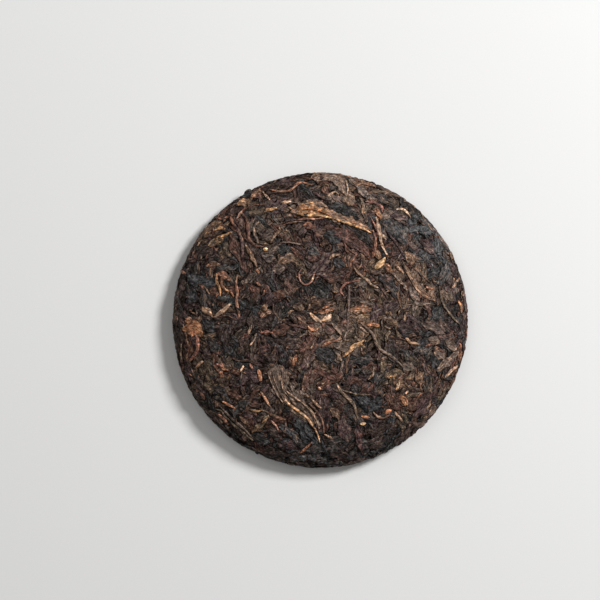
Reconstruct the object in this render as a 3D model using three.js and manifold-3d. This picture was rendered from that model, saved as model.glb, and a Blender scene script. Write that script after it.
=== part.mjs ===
// Ripe pu erh tea cake: large tea leaves, steamed, gathered in a cloth and pressed under a stone into a round cake.
// The front is a low dome that falls away to a thin rounded rim. The back is flat, with the round dent that the
// knot of the cloth leaves. Twisted leaves and stems stand out of the pressed mass all over.
// Millimetres, +Z up. The cake lies on its back, front up, and +Y is the edge that was uppermost on display.
// The origin is under the middle of the cake, on the surface that it lies on.
import * as THREE from "three";
import { mergeVertices } from "three/addons/utils/BufferGeometryUtils.js";
import Module from "manifold-3d";

// Driving dimensions of the pressed mass, under the leaves that stand out of it.
const MASS_RADIUS = 99.2;
const MASS_TOP = 23.8;
const RIM_HEIGHT = 7.2; // the level at which the cake is widest
const BACK_LEVEL = 0.8; // the back's flat, kept off the table by its leaves
const BACK_FLAT_RADIUS = 89;
const DIMPLE_RADIUS = 30;
const DIMPLE_FLOOR_RADIUS = 5;
const DIMPLE_DEPTH = 11;

// How full the dome and the rim are: the powers of the two superellipses of the section.
const DOME_FLATNESS = 3.2;
const DOME_FULLNESS = 1.8;
const RIM_FULLNESS = 2.2;

// How finely the mass is cut, and how uneven it is.
const TURNS_AROUND = 36;
const DOME_STEPS = 9;
const RIM_STEPS = 4;
const BACK_RINGS = [68, 48]; // radii
const DIMPLE_STEPS = 5;
const MASS_UNEVENNESS = 0.35;
const FINE_STEPS = 60; // for the section that the leaves are laid on

// Leaves that fill the surface between the large ones, spread evenly by the golden angle.
const GOLDEN_ANGLE = Math.PI * (3 - Math.sqrt(5));
const FRONT_LEAVES = 98;
const RIM_LEAVES = 36;
const BACK_LEAVES = 50;
const RIM_BAND = 12; // the width of the band round the rim that its leaves fill
const FRONT_REACH = 98; // how far along the skin the middles of the front's leaves go
const BACK_REACH = 84;
const DIMPLE_CLEAR = 24; // the dimple stays free of leaves out to here
const SEED = 20357;

const WELD = 1e-3; // vertices closer than this are one

const rad = THREE.MathUtils.degToRad;

// A seeded stream of numbers from 0 to 1, so that every build is the same.
function makeRandom(seed) {
  let state = seed >>> 0;
  return () => {
    state = (state + 0x6d2b79f5) >>> 0;
    let t = Math.imul(state ^ (state >>> 15), state | 1);
    t ^= t + Math.imul(t ^ (t >>> 7), t | 61);
    return ((t ^ (t >>> 14)) >>> 0) / 4294967296;
  };
}
const random = makeRandom(SEED);
const between = (low, high) => low + (high - low) * random();

// The height of the back at a radius: flat, then rising smoothly into the dimple.
function backHeight(r) {
  const out = THREE.MathUtils.smoothstep(r, DIMPLE_FLOOR_RADIUS, DIMPLE_RADIUS);
  return BACK_LEVEL + DIMPLE_DEPTH * (1 - out);
}

// The half section of the mass as [radius, height], from the middle of the front round the rim to the middle of the
// back.
function section(domeSteps, rimSteps, backRings, dimpleSteps) {
  const points = [];
  for (let i = 0; i <= domeSteps; i++) {
    const t = (i / domeSteps) * (Math.PI / 2);
    const r = MASS_RADIUS * Math.sin(t) ** (2 / DOME_FLATNESS);
    const rise = Math.max(Math.cos(t), 0) ** (2 / DOME_FULLNESS);
    points.push([r, RIM_HEIGHT + (MASS_TOP - RIM_HEIGHT) * rise]);
  }
  for (let i = 1; i <= rimSteps; i++) {
    const t = (i / rimSteps) * (Math.PI / 2);
    const out = Math.max(Math.cos(t), 0) ** (2 / RIM_FULLNESS);
    const fall = Math.sin(t) ** (2 / RIM_FULLNESS);
    points.push([
      BACK_FLAT_RADIUS + (MASS_RADIUS - BACK_FLAT_RADIUS) * out,
      RIM_HEIGHT - (RIM_HEIGHT - BACK_LEVEL) * fall,
    ]);
  }
  for (const r of backRings) points.push([r, BACK_LEVEL]);
  for (let i = dimpleSteps; i >= 0; i--) {
    const r = (i / dimpleSteps) * DIMPLE_RADIUS;
    points.push([r, backHeight(r)]);
  }
  return points;
}

// The same section, finely stepped, with the distance along it from the middle of the front.
const SKIN = section(FINE_STEPS, FINE_STEPS, BACK_RINGS, FINE_STEPS).map(([r, z]) => ({ r, z, s: 0 }));
SKIN.forEach((p, i) => {
  if (i) p.s = SKIN[i - 1].s + Math.hypot(p.r - SKIN[i - 1].r, p.z - SKIN[i - 1].z);
});
const SKIN_LENGTH = SKIN[SKIN.length - 1].s;
const RIM_DISTANCE = SKIN.reduce((widest, p) => (p.r > widest.r ? p : widest)).s;

// A point of the skin and its outward normal, from a place on a flat chart whose distances from its middle run along
// the skin: the front's chart starts at the middle of the front, the back's at the middle of the back.
function onSkin(side, x, y) {
  const along = Math.hypot(x, y);
  const s = side === "front" ? along : SKIN_LENGTH - along;
  let i = 1;
  while (i < SKIN.length - 1 && SKIN[i].s < s) i++;
  const a = SKIN[i - 1];
  const b = SKIN[i];
  const t = THREE.MathUtils.clamp((s - a.s) / (b.s - a.s), 0, 1);
  const r = a.r + (b.r - a.r) * t;
  const slope = Math.atan2(b.z - a.z, b.r - a.r);
  const angle = Math.atan2(y, x);
  return {
    point: new THREE.Vector3(r * Math.cos(angle), r * Math.sin(angle), a.z + (b.z - a.z) * t),
    normal: new THREE.Vector3(
      -Math.sin(slope) * Math.cos(angle),
      -Math.sin(slope) * Math.sin(angle),
      Math.cos(slope),
    ),
  };
}

// The pressed mass: the section turned round, each ring of points pushed in and out a little at random.
function massGeometry() {
  const profile = section(DOME_STEPS, RIM_STEPS, BACK_RINGS, DIMPLE_STEPS)
    .reverse()
    .map(([r, z], i, all) => new THREE.Vector2(i === 0 || i === all.length - 1 ? 0 : r, z));
  const geometry = new THREE.LatheGeometry(profile, TURNS_AROUND);
  geometry.rotateX(Math.PI / 2);
  geometry.deleteAttribute("normal");
  geometry.deleteAttribute("uv");
  const merged = mergeVertices(geometry, WELD);
  const position = merged.getAttribute("position");
  for (let i = 0; i < position.count; i++) {
    const r = Math.hypot(position.getX(i), position.getY(i));
    if (r < 1) continue;
    const stretch = 1 + between(-MASS_UNEVENNESS, MASS_UNEVENNESS) / MASS_RADIUS;
    position.setX(i, position.getX(i) * stretch);
    position.setY(i, position.getY(i) * stretch);
    if (position.getZ(i) > RIM_HEIGHT) {
      position.setZ(i, position.getZ(i) + between(-MASS_UNEVENNESS, MASS_UNEVENNESS));
    }
  }
  return merged;
}

// A point of an arc on the chart, with t from 0 at its start to 1 at its end. x, y and heading are those of the arc's
// middle, and bend is how far it turns from end to end, in degrees.
function onArc({ x, y, heading, length, bend }, t) {
  const turned = rad(bend) * (t - 0.5);
  const way = rad(heading) + turned / 2;
  const straight = Math.abs(turned) < 1e-6 ? 1 : Math.sin(turned / 2) / (turned / 2);
  const chord = length * (t - 0.5) * straight;
  return [x + chord * Math.cos(way), y + chord * Math.sin(way)];
}

// One leaf or stem: a ridge that follows an arc, whose back stands out of the skin by its rise and whose keel is sunk
// in the mass. Each station is a left edge, a back, a right edge and a keel, and both ends close to a point.
function leafGeometry({ side = "front", x, y, heading, length, bend = 0, width, rise = 1.6, steps = 5 }) {
  const EDGE_SINK = 0.25;
  const KEEL_SINK = 1.6;
  const TIP_SINK = 0.5;
  const stations = [];
  for (let i = 0; i <= steps; i++) {
    const [cx, cy] = onArc({ x, y, heading, length, bend }, i / steps);
    stations.push(onSkin(side, cx, cy));
  }
  const positions = [];
  const add = (v) => positions.push(v.x, v.y, v.z) / 3 - 1;
  const rings = stations.map(({ point, normal }, i) => {
    const back = stations[Math.max(i - 1, 0)].point;
    const ahead = stations[Math.min(i + 1, steps)].point;
    const tangent = ahead.clone().sub(back).normalize();
    const across = normal.clone().cross(tangent).normalize();
    if (i === 0 || i === steps) return [add(point.clone().addScaledVector(normal, -TIP_SINK))];
    const t = i / steps;
    const fullness = Math.sin(Math.PI * t ** 0.85) ** 0.6;
    const half = (width / 2) * fullness * (0.88 + 0.24 * ((i * 0.618) % 1));
    const lean = ((i * 0.618 + 0.3) % 1) - 0.5;
    const crest = point
      .clone()
      .addScaledVector(normal, rise * fullness)
      .addScaledVector(across, lean * half * 0.7);
    return [
      add(point.clone().addScaledVector(across, half).addScaledVector(normal, -EDGE_SINK)),
      add(crest),
      add(point.clone().addScaledVector(across, -half).addScaledVector(normal, -EDGE_SINK)),
      add(point.clone().addScaledVector(normal, -KEEL_SINK)),
    ];
  });
  const faces = [];
  for (let i = 0; i < steps; i++) {
    const a = rings[i];
    const b = rings[i + 1];
    for (let k = 0; k < 4; k++) {
      const next = (k + 1) % 4;
      if (a.length === 1) faces.push(a[0], b[next], b[k]);
      else if (b.length === 1) faces.push(a[k], a[next], b[0]);
      else faces.push(a[k], b[next], b[k], a[k], a[next], b[next]);
    }
  }
  const geometry = new THREE.BufferGeometry();
  geometry.setAttribute("position", new THREE.BufferAttribute(new Float32Array(positions), 3));
  geometry.setIndex(faces);
  return geometry;
}

// The large leaves and stems of the front, each an arc through its middle.
const LARGE_LEAVES = [
  // Along the top
  { x: 7.5, y: 71, heading: -15, length: 58, bend: -38, width: 7.5, rise: 2.1, steps: 8 }, // long pale leaf
  { x: -12.7, y: 65.6, heading: 8, length: 34, bend: 10, width: 2.4, rise: 1.2 },
  { x: 14.5, y: 94.5, heading: -40, length: 24, bend: -85, width: 5.5, steps: 6 }, // curled leaf at the rim
  { x: 11.3, y: 78.8, heading: 0, length: 14, bend: 0, width: 10, rise: 1.4 },
  { x: -23.5, y: 86.6, heading: 8, length: 22, bend: 45, width: 2.4, rise: 1.4, steps: 6 }, // red stem
  { x: 36.5, y: 51, heading: -88, length: 24, bend: -22, width: 2.6 },
  { x: 40, y: 55, heading: -72, length: 25, bend: 6, width: 3.6, rise: 1.8 },
  { x: 39.8, y: 77.8, heading: -40, length: 17, bend: -100, width: 3.2, steps: 6 }, // hooked stem
  { x: 39.7, y: 37.4, heading: 38, length: 9, width: 4.8, rise: 1.9, steps: 4 }, // bud
  { x: 58.3, y: 73.6, heading: -35, length: 14, bend: -80, width: 2.4, rise: 1.4 },
  { x: 50.7, y: 61.5, heading: 60, length: 18, width: 13, rise: 1.2 }, // broad flat leaf
  { x: 35, y: 91, heading: -8, length: 18, bend: -12, width: 4 },
  { x: -48, y: 53.5, heading: -60, length: 23, bend: 60, width: 3, steps: 6 },
  { x: -44.8, y: 43.5, heading: -72, length: 17, width: 3.4 },
  { x: -70.2, y: 59.2, heading: 8, length: 14, bend: 50, width: 3 },
  { x: -51, y: 78, heading: 25, length: 13, width: 6 },
  // Across the middle
  { x: -10.8, y: 24, heading: -25, length: 22, bend: 150, width: 2.5, steps: 8 }, // looped stem
  { x: 1.5, y: 35.5, heading: 43, length: 27, width: 7 },
  { x: 18, y: 27, heading: 54, length: 18, width: 4.4 },
  { x: 30, y: 28.6, heading: -30, length: 18, bend: 8, width: 3 },
  { x: 19.1, y: 7.7, heading: 90, length: 29, bend: 2, width: 3, rise: 1.8, steps: 4 }, // straight stem
  { x: 27.5, y: 4.5, heading: -12, length: 13, width: 5.5 },
  { x: 2, y: 1, heading: -5, length: 12, bend: 60, width: 4.5 },
  { x: -68.3, y: 24.7, heading: -82, length: 15, width: 2.4 },
  { x: -55.9, y: 16.4, heading: -88, length: 24, bend: 10, width: 2.8 },
  { x: -75.8, y: 5.6, heading: -40, length: 13, width: 4 },
  { x: -65.2, y: 5.5, heading: 37, length: 14, width: 3.4 },
  { x: -85.5, y: -5.3, heading: 60, length: 13, width: 10, rise: 1.8 },
  { x: -81.3, y: -18.5, heading: -95, length: 15, bend: -40, width: 3.2 },
  { x: 67, y: 19.8, heading: -36, length: 22, width: 5.5 },
  { x: 60.3, y: 36, heading: -62, length: 17, width: 4 },
  // Along the bottom
  { x: 19, y: -19.5, heading: 28, length: 24, width: 7.5 }, // pale broad leaf
  { x: 39.5, y: -17.5, heading: -50, length: 41, bend: 25, width: 3.2, rise: 1.8, steps: 8 }, // long grey stem
  { x: -27, y: -42, heading: -60, length: 28, width: 11, rise: 2.0 }, // broad half of the twisted leaf
  { x: -13.5, y: -60.5, heading: -48, length: 37, bend: -12, width: 5.5, rise: 2.2, steps: 7 }, // its rolled half
  { x: 87, y: -27, heading: 57, length: 21, width: 6 },
  { x: 16, y: -72, heading: -65, length: 19, width: 10, rise: 1.4 },
  { x: 18.7, y: -55, heading: -58, length: 24, bend: -20, width: 3.2 },
  { x: -59, y: -70, heading: -42, length: 36, bend: 18, width: 4.2, steps: 7 },
  { x: -35.4, y: -68.8, heading: 40, length: 15, width: 5.5 },
  { x: 41, y: -64.2, heading: 0, length: 14, bend: 80, width: 2.2 },
  { x: -36.3, y: -52.4, heading: -56, length: 10, width: 2.8, steps: 4 },
];

// Whether a place on the front lies under the middle of a large leaf.
function isTaken(x, y) {
  return LARGE_LEAVES.some((leaf) => Math.hypot(leaf.x - x, leaf.y - y) < 0.75 * leaf.width + 2.5);
}

function fillLeaves() {
  const leaves = [];
  for (let i = 0; i < FRONT_LEAVES; i++) {
    const out = FRONT_REACH * Math.sqrt((i + 0.5) / FRONT_LEAVES);
    const angle = i * GOLDEN_ANGLE;
    const x = out * Math.cos(angle) + between(-2, 2);
    const y = out * Math.sin(angle) + between(-2, 2);
    const round = THREE.MathUtils.radToDeg(angle) + 90;
    const leaf = {
      x,
      y,
      heading: out > 0.8 * FRONT_REACH ? round + between(-40, 40) : between(0, 180),
      length: between(17, 32),
      bend: between(-50, 50),
      width: between(3.6, 6.6),
      rise: between(1.1, 1.8),
      steps: 3,
    };
    if (!isTaken(x, y)) leaves.push(leaf);
  }
  for (let i = 0; i < RIM_LEAVES; i++) {
    const angle = ((i + between(-0.3, 0.3)) / RIM_LEAVES) * 2 * Math.PI;
    const out = RIM_DISTANCE + RIM_BAND * (((i * 0.618) % 1) - 0.5);
    leaves.push({
      x: out * Math.cos(angle),
      y: out * Math.sin(angle),
      heading: THREE.MathUtils.radToDeg(angle) + 90 + between(-25, 25),
      length: between(18, 30),
      bend: between(5, 15),
      width: between(3.5, 6),
      rise: between(0.6, 1.0),
      steps: 3,
    });
  }
  for (let i = 0; i < BACK_LEAVES; i++) {
    const share = (i + 0.5) / BACK_LEAVES;
    const out = Math.sqrt(DIMPLE_CLEAR ** 2 + share * (BACK_REACH ** 2 - DIMPLE_CLEAR ** 2)) + 9;
    const angle = i * GOLDEN_ANGLE;
    leaves.push({
      side: "back",
      x: out * Math.cos(angle),
      y: out * Math.sin(angle),
      heading: THREE.MathUtils.radToDeg(angle) + 90 + between(-50, 50),
      length: between(18, 32),
      bend: between(-20, 40),
      width: between(4.5, 7.5),
      rise: between(1.3, 1.8),
      steps: 3,
    });
  }
  return leaves;
}

const wasm = await Module();
wasm.setup();

function toSolid(geometry) {
  return new wasm.Manifold(
    new wasm.Mesh({
      numProp: 3,
      vertProperties: new Float32Array(geometry.getAttribute("position").array),
      triVerts: new Uint32Array(geometry.index.array),
    }),
  );
}

function toGeometry(solid) {
  const mesh = solid.getMesh();
  const geometry = new THREE.BufferGeometry();
  geometry.setAttribute("position", new THREE.BufferAttribute(new Float32Array(mesh.vertProperties), 3));
  geometry.setIndex(new THREE.BufferAttribute(new Uint32Array(mesh.triVerts), 1));
  return geometry;
}

// The room above the table, as one tall block: what reaches below it is pressed flat.
function aboveTable() {
  const SIZE = 400;
  const block = new THREE.BoxGeometry(SIZE, SIZE, SIZE).translate(0, 0, SIZE / 2);
  block.deleteAttribute("normal");
  block.deleteAttribute("uv");
  return toSolid(mergeVertices(block, WELD));
}

// The outside alone: small hollows sealed under the leaves are filled, and loose scraps dropped.
function outerShell(solid) {
  const welded = toSolid(mergeVertices(toGeometry(solid), WELD));
  const shells = welded.decompose();
  return shells.reduce((most, shell) => (shell.volume() > most.volume() ? shell : most));
}

// The whole cake: the mass with every leaf fused on, pressed flat underneath and centred over the origin.
function cakeGeometry() {
  let cake = toSolid(massGeometry());
  for (const leaf of [...LARGE_LEAVES, ...fillLeaves()]) {
    cake = cake.add(toSolid(leafGeometry(leaf)));
  }
  const geometry = toGeometry(outerShell(cake.intersect(aboveTable())));
  geometry.computeBoundingBox();
  const centre = geometry.boundingBox.getCenter(new THREE.Vector3());
  return geometry.translate(-centre.x, -centre.y, 0);
}

const pressedTea = new THREE.MeshStandardMaterial({ color: 0x3f322b, roughness: 0.85, metalness: 0 });
const teaCake = new THREE.Mesh(cakeGeometry(), pressedTea);
teaCake.name = "tea_cake";

const group = new THREE.Group();
group.add(teaCake);

export default group;
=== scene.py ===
# %% [markdown]
# A ripe pu erh tea cake is a round of large, dark, twisted tea leaves, steamed soft, gathered in a cloth
# and pressed under a stone. This lesson dresses the plain CAD solid of one such cake with its leaves. It
# could be one bumpy disc with a painted texture, or thousands of leaves dropped by a simulation. Here every
# leaf is a small closed ribbon of mesh, laid on the cake in layers and then pressed level by rule, because
# the dark gaps between real leaves are what make a cake look pressed, and a rule gives the same cake every
# time.

import bpy
import numpy as np
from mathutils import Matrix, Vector


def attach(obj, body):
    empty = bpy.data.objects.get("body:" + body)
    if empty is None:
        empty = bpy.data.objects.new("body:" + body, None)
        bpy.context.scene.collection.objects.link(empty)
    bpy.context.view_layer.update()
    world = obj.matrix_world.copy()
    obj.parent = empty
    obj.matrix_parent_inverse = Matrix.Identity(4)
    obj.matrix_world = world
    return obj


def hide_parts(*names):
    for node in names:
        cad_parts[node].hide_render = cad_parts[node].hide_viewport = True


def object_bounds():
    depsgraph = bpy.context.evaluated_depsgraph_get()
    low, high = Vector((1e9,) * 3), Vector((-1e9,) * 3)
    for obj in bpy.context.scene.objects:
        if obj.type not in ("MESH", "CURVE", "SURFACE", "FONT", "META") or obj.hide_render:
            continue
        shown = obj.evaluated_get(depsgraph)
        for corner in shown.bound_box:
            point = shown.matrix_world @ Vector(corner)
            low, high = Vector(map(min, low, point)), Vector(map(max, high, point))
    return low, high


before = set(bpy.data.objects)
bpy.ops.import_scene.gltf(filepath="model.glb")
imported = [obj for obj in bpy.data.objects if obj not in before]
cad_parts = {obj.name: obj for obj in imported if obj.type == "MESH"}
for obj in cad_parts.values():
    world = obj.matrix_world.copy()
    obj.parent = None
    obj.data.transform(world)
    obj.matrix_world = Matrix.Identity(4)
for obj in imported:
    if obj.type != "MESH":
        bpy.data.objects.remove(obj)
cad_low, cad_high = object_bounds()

MM = 0.001
rng = np.random.default_rng(101)
reach_mm = min(cad_high.x - cad_low.x, cad_high.y - cad_low.y) / 2 / MM
top_mm = cad_high.z / MM
print(f"CAD cake: reaches {reach_mm:.2f} mm out and {top_mm:.2f} mm up")

# %% [markdown]
# The skin is the smooth surface that the leaves are pressed level with. On the real cake the front is a low
# dome, the rim is thin and rounded, and the flat back has the dent of the cloth's knot. It could be read
# from the CAD mesh by casting rays, but that mesh has ridges on it. A formula for the half section is
# smooth and gives a normal at every point, and it takes its two outer sizes from the CAD solid in model.glb.

# %% The half section of the skin
RELIEF = 1.05  # how far the highest leaves stand out of the skin
RADIUS = reach_mm - RELIEF
TOP = top_mm - RELIEF
BACK_LEVEL = 0.9
RIM_HEIGHT = 7.2
BACK_FLAT_RADIUS = 88.5
DIMPLE_RADIUS = 30
DIMPLE_FLOOR_RADIUS = 4
DIMPLE_DEPTH = 10.6
DOME_FLATNESS = 3.2
DOME_FULLNESS = 1.8
RIM_FULLNESS = 2.2
SECTION_STEPS = 500
SKIN_STEP = 0.4


def smoothstep(x, low, high):
    """0 below low, 1 above high, and 3t^2 - 2t^3 between them."""
    t = np.clip((x - low) / (high - low), 0, 1)
    return t * t * (3 - 2 * t)


def half_section():
    """Distance, radius, height and outward normal at even steps from the front's middle to the back's.

    The dome and the rim are quarters of superellipses: cosine and sine of one angle, each raised to a power.
    The back is flat, and rises into the dimple as 1 - smoothstep of the radius.
    """
    t = np.linspace(0, np.pi / 2, SECTION_STEPS)
    cosine = np.cos(t).clip(0)
    dome_r = RADIUS * np.sin(t) ** (2 / DOME_FLATNESS)
    dome_z = RIM_HEIGHT + (TOP - RIM_HEIGHT) * cosine ** (2 / DOME_FULLNESS)
    rim_r = BACK_FLAT_RADIUS + (RADIUS - BACK_FLAT_RADIUS) * cosine ** (2 / RIM_FULLNESS)
    rim_z = RIM_HEIGHT - (RIM_HEIGHT - BACK_LEVEL) * np.sin(t) ** (2 / RIM_FULLNESS)
    back_r = np.linspace(BACK_FLAT_RADIUS, 0, SECTION_STEPS)
    back_z = BACK_LEVEL + DIMPLE_DEPTH * (1 - smoothstep(back_r, DIMPLE_FLOOR_RADIUS, DIMPLE_RADIUS))
    r = np.concatenate([dome_r, rim_r[1:], back_r[1:]])
    z = np.concatenate([dome_z, rim_z[1:], back_z[1:]])
    walked = np.concatenate([[0], np.cumsum(np.hypot(np.diff(r), np.diff(z)))])
    s = np.linspace(0, walked[-1], int(walked[-1] / SKIN_STEP))
    r = np.interp(s, walked, r)
    z = np.interp(s, walked, z)
    slope_r = np.gradient(r, s)
    slope_z = np.gradient(z, s)
    return s, r, z, -slope_z, slope_r


SKIN_S, SKIN_R, SKIN_Z, SKIN_NR, SKIN_NZ = half_section()
SKIN_LENGTH = SKIN_S[-1]
RIM_S = SKIN_S[np.argmax(SKIN_R)]
FRONT = 1
BACK = -1


def place(side, x, y, lift):
    """Chart places to points. A chart is flat, and measured along the skin from the middle of its side.

    The distance from the chart's middle gives the place on the half section, the direction is kept, and the
    point then moves out along the skin's normal by its lift.
    """
    away = np.maximum(np.hypot(x, y), 1e-6)
    s = away if side == FRONT else SKIN_LENGTH - away
    r = np.interp(s, SKIN_S, SKIN_R) + np.interp(s, SKIN_S, SKIN_NR) * lift
    z = np.interp(s, SKIN_S, SKIN_Z) + np.interp(s, SKIN_S, SKIN_NZ) * lift
    return np.stack([r * x / away, r * y / away, np.maximum(z, 0)], -1)


print(f"skin: {SKIN_LENGTH:.1f} mm from middle to middle, widest after {RIM_S:.1f} mm")

# %% [markdown]
# Tea leaves wrinkle along their length, and colour and direction drift from one part of the cake to
# another. Both come from smooth noise. Shader noise can't shape a mesh that has to be exported, so squares
# of noise are made here by blurring white noise in frequency space, which makes them repeat without a seam.

# %% Squares of smooth noise
TILE_MM = 64
TILE_CELLS = 512


def noise_tile(along, across):
    """A repeating square of noise, 0 on average and 1 in spread, with features of these sizes in mm."""
    white = rng.standard_normal((TILE_CELLS, TILE_CELLS))
    frequency = np.fft.fftfreq(TILE_CELLS, TILE_MM / TILE_CELLS)
    fx, fy = np.meshgrid(frequency, frequency, indexing="ij")
    kept = np.exp(-2 * ((fx * along) ** 2 + (fy * across) ** 2))
    tile = np.fft.ifft2(np.fft.fft2(white) * kept).real
    return tile / tile.std()


def read_tile(tile, x, y):
    """The tile's value at places in millimetres, mixed from the four nearest cells."""
    u = np.asarray(x) * (TILE_CELLS / TILE_MM)
    v = np.asarray(y) * (TILE_CELLS / TILE_MM)
    i = np.floor(u).astype(int)
    j = np.floor(v).astype(int)
    a = u - i
    b = v - j
    i0 = i % TILE_CELLS
    j0 = j % TILE_CELLS
    i1 = (i + 1) % TILE_CELLS
    j1 = (j + 1) % TILE_CELLS
    low = tile[i0, j0] * (1 - b) + tile[i0, j1] * b
    high = tile[i1, j0] * (1 - b) + tile[i1, j1] * b
    return low * (1 - a) + high * a


WRINKLE = noise_tile(along=5.0, across=1.1)
CRUMPLE = noise_tile(along=2.2, across=2.2)
CRUMB = noise_tile(along=1.1, across=1.1)
SWIRL = noise_tile(along=22, across=22)
print("noise tiles:", TILE_CELLS, "cells of", TILE_MM / TILE_CELLS, "mm")

# %% [markdown]
# Ripe leaves are nearly black, brown, or a bluish charcoal where they shine, with a few tan, golden and
# rust-coloured stems and buds. The bluish grey of that shine is painted into a leaf colour of its own, as a
# painted sheen. The colours are named once here as they look on a screen, and are turned into the linear
# values that a shader takes.

# %% Leaf colours


def linear(red, green, blue):
    """A screen colour, 0 to 255, as linear light: below 0.04 a straight line, above it a power of 2.4."""
    c = np.array([red, green, blue]) / 255
    return np.where(c < 0.04045, c / 12.92, ((c + 0.055) / 1.055) ** 2.4)


COLOURS = {
    "charcoal": linear(44, 42, 41),
    # painted sheen: the bluish grey that dark leaves show where they shine
    "sheen_slate": linear(53, 53, 54),
    "dark_brown": linear(56, 44, 39),
    "mahogany": linear(78, 54, 45),
    "purple_brown": linear(64, 48, 47),
    "olive_brown": linear(80, 67, 54),
    "grey_brown": linear(94, 80, 71),
    "brown": linear(98, 76, 60),
    "tan": linear(131, 106, 88),
    "pale_tan": linear(162, 135, 114),
    "rust": linear(114, 79, 62),
    "red_stem": linear(116, 80, 69),
    "orange": linear(139, 94, 68),
    "gold": linear(148, 112, 79),
    "pale_gold": linear(180, 148, 110),
}
DARK_MIX = {
    "charcoal": 6,
    "sheen_slate": 2,
    "dark_brown": 5,
    "mahogany": 1.2,
    "purple_brown": 2.2,
    "olive_brown": 1,
}
BROWN_MIX = {
    "dark_brown": 6,
    "mahogany": 3,
    "olive_brown": 2.5,
    "purple_brown": 2,
    "brown": 1.6,
    "grey_brown": 0.8,
}
FLECK_MIX = {"brown": 4, "rust": 1.6, "tan": 1.4, "mahogany": 4, "grey_brown": 2, "orange": 0.4, "gold": 0.2}
CRUMB_MIX = {"charcoal": 5, "dark_brown": 5, "mahogany": 2.5, "brown": 1.5, "tan": 0.3, "rust": 0.4}
VEIN_MIX = {"charcoal": 4, "dark_brown": 3, "brown": 2.5, "olive_brown": 2.5, "grey_brown": 2, "mahogany": 2}
SHADE_SPREAD = 0.13


def mix_colours(mix, x, y):
    """One colour for each place, drawn by weight, each a little lighter or darker than its name."""
    names = list(mix)
    weights = np.array([mix[n] for n in names], float)
    drawn = rng.choice(len(names), len(x), p=weights / weights.sum())
    shades = np.exp(rng.normal(0, SHADE_SPREAD, (len(x), 1)))
    return np.array([COLOURS[n] for n in names])[drawn] * shades

# %% [markdown]
# Leaves of one kind lie together in patches, because the tea falls into the cloth by the handful. A patch
# is a place on the front, how far it spreads, and the mix that its leaves mostly come from.

# %% Patches of like leaves
NIGHT = {"charcoal": 6, "dark_brown": 3, "sheen_slate": 1}
# the bluish patches lean on the painted-sheen grey
BLUISH = {"sheen_slate": 6, "charcoal": 3, "grey_brown": 1}
REDDISH = {"mahogany": 5, "purple_brown": 4, "dark_brown": 2}
WARM = {"brown": 5, "mahogany": 4, "rust": 1, "olive_brown": 2, "dark_brown": 2}
PALE = {"grey_brown": 5, "brown": 4, "olive_brown": 3, "tan": 1.5}
PATCHES = [
    (NIGHT, -8, 88, 13),
    (NIGHT, -55, 50, 15),
    (NIGHT, -90, 25, 16),
    (NIGHT, -48, 8, 10),
    (NIGHT, -62, -16, 15),
    (NIGHT, -8, 24, 13),
    (NIGHT, 20, -36, 14),
    (NIGHT, -30, -86, 20),
    (NIGHT, 14, -92, 20),
    (NIGHT, 40, -80, 14),
    (NIGHT, 16, -70, 12),
    (NIGHT, -66, -72, 20),
    (NIGHT, 75, 4, 12),
    (REDDISH, 12, 50, 22),
    (REDDISH, -32, -18, 16),
    (REDDISH, 92, -6, 10),
    (REDDISH, -35, -68, 14),
    (REDDISH, 8, -45, 12),
    (BLUISH, 52, 62, 12),
    (BLUISH, 72, 42, 14),
    (BLUISH, 80, -26, 13),
    (BLUISH, -10, -78, 13),
    (BLUISH, 36, -52, 12),
    (PALE, -28, 60, 9),
    (PALE, 15, -10, 16),
    (PALE, 4, 6, 8),
    (PALE, 29, 7, 12),
    (PALE, 60, 10, 13),
    (PALE, -8, -38, 11),
    (PALE, 25, 85, 14),
    (PALE, 8, 95, 9),
    (WARM, 38, 34, 10),
    (WARM, 62, 26, 13),
    (WARM, -70, 60, 14),
    (WARM, -66, 24, 11),
    (WARM, -72, -36, 12),
    (WARM, 60, -50, 15),
    (WARM, 88, -38, 11),
    (WARM, -78, -12, 9),
]
PATCH_SHARE = 0.85
PATCH_SOFTNESS = 1.2


def patch_colours(mix, x, y):
    """Colours drawn from a mix, or from a patch's own: the nearer its middle, the more likely."""
    tint = mix_colours(mix, x, y)
    for patch_mix, patch_x, patch_y, size in PATCHES:
        near = np.exp(-((x - patch_x) ** 2 + (y - patch_y) ** 2) / (PATCH_SOFTNESS * size**2))
        inside = rng.uniform(0, 1, len(x)) < PATCH_SHARE * near
        tint[inside] = mix_colours(patch_mix, x[inside], y[inside])
    return tint

# %% [markdown]
# A leaf could be dropped on the cake as a rigid shape, but wet leaves drape: each takes up the shape of what
# it lies on. So a map of each side holds how high the pile is at every place. A layer of leaves reads its
# levels there, smooths them as a limp leaf would, and adds its own thickness.

# %% The map of the pile
CHART_REACH = 124
CELL = 0.6
CELLS = int(2 * CHART_REACH / CELL)
pile = {FRONT: np.zeros((CELLS, CELLS)), BACK: np.zeros((CELLS, CELLS))}


def cells(x, y):
    """The cells of the map that chart places are in."""
    i = ((x + CHART_REACH) / CELL).astype(int).clip(0, CELLS - 1)
    j = ((y + CHART_REACH) / CELL).astype(int).clip(0, CELLS - 1)
    return i, j


def smoothed(levels, rounds):
    """Levels averaged with their neighbours along and across each leaf, one round after another."""
    for _ in range(rounds):
        padded = np.pad(levels, ((0, 0), (1, 1), (1, 1)), mode="edge")
        beside = padded[:, 1:-1, :-2] + padded[:, 1:-1, 2:]
        ahead = padded[:, :-2, 1:-1] + padded[:, 2:, 1:-1]
        levels = (2 * levels + beside + ahead) / 6
    return levels


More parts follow.
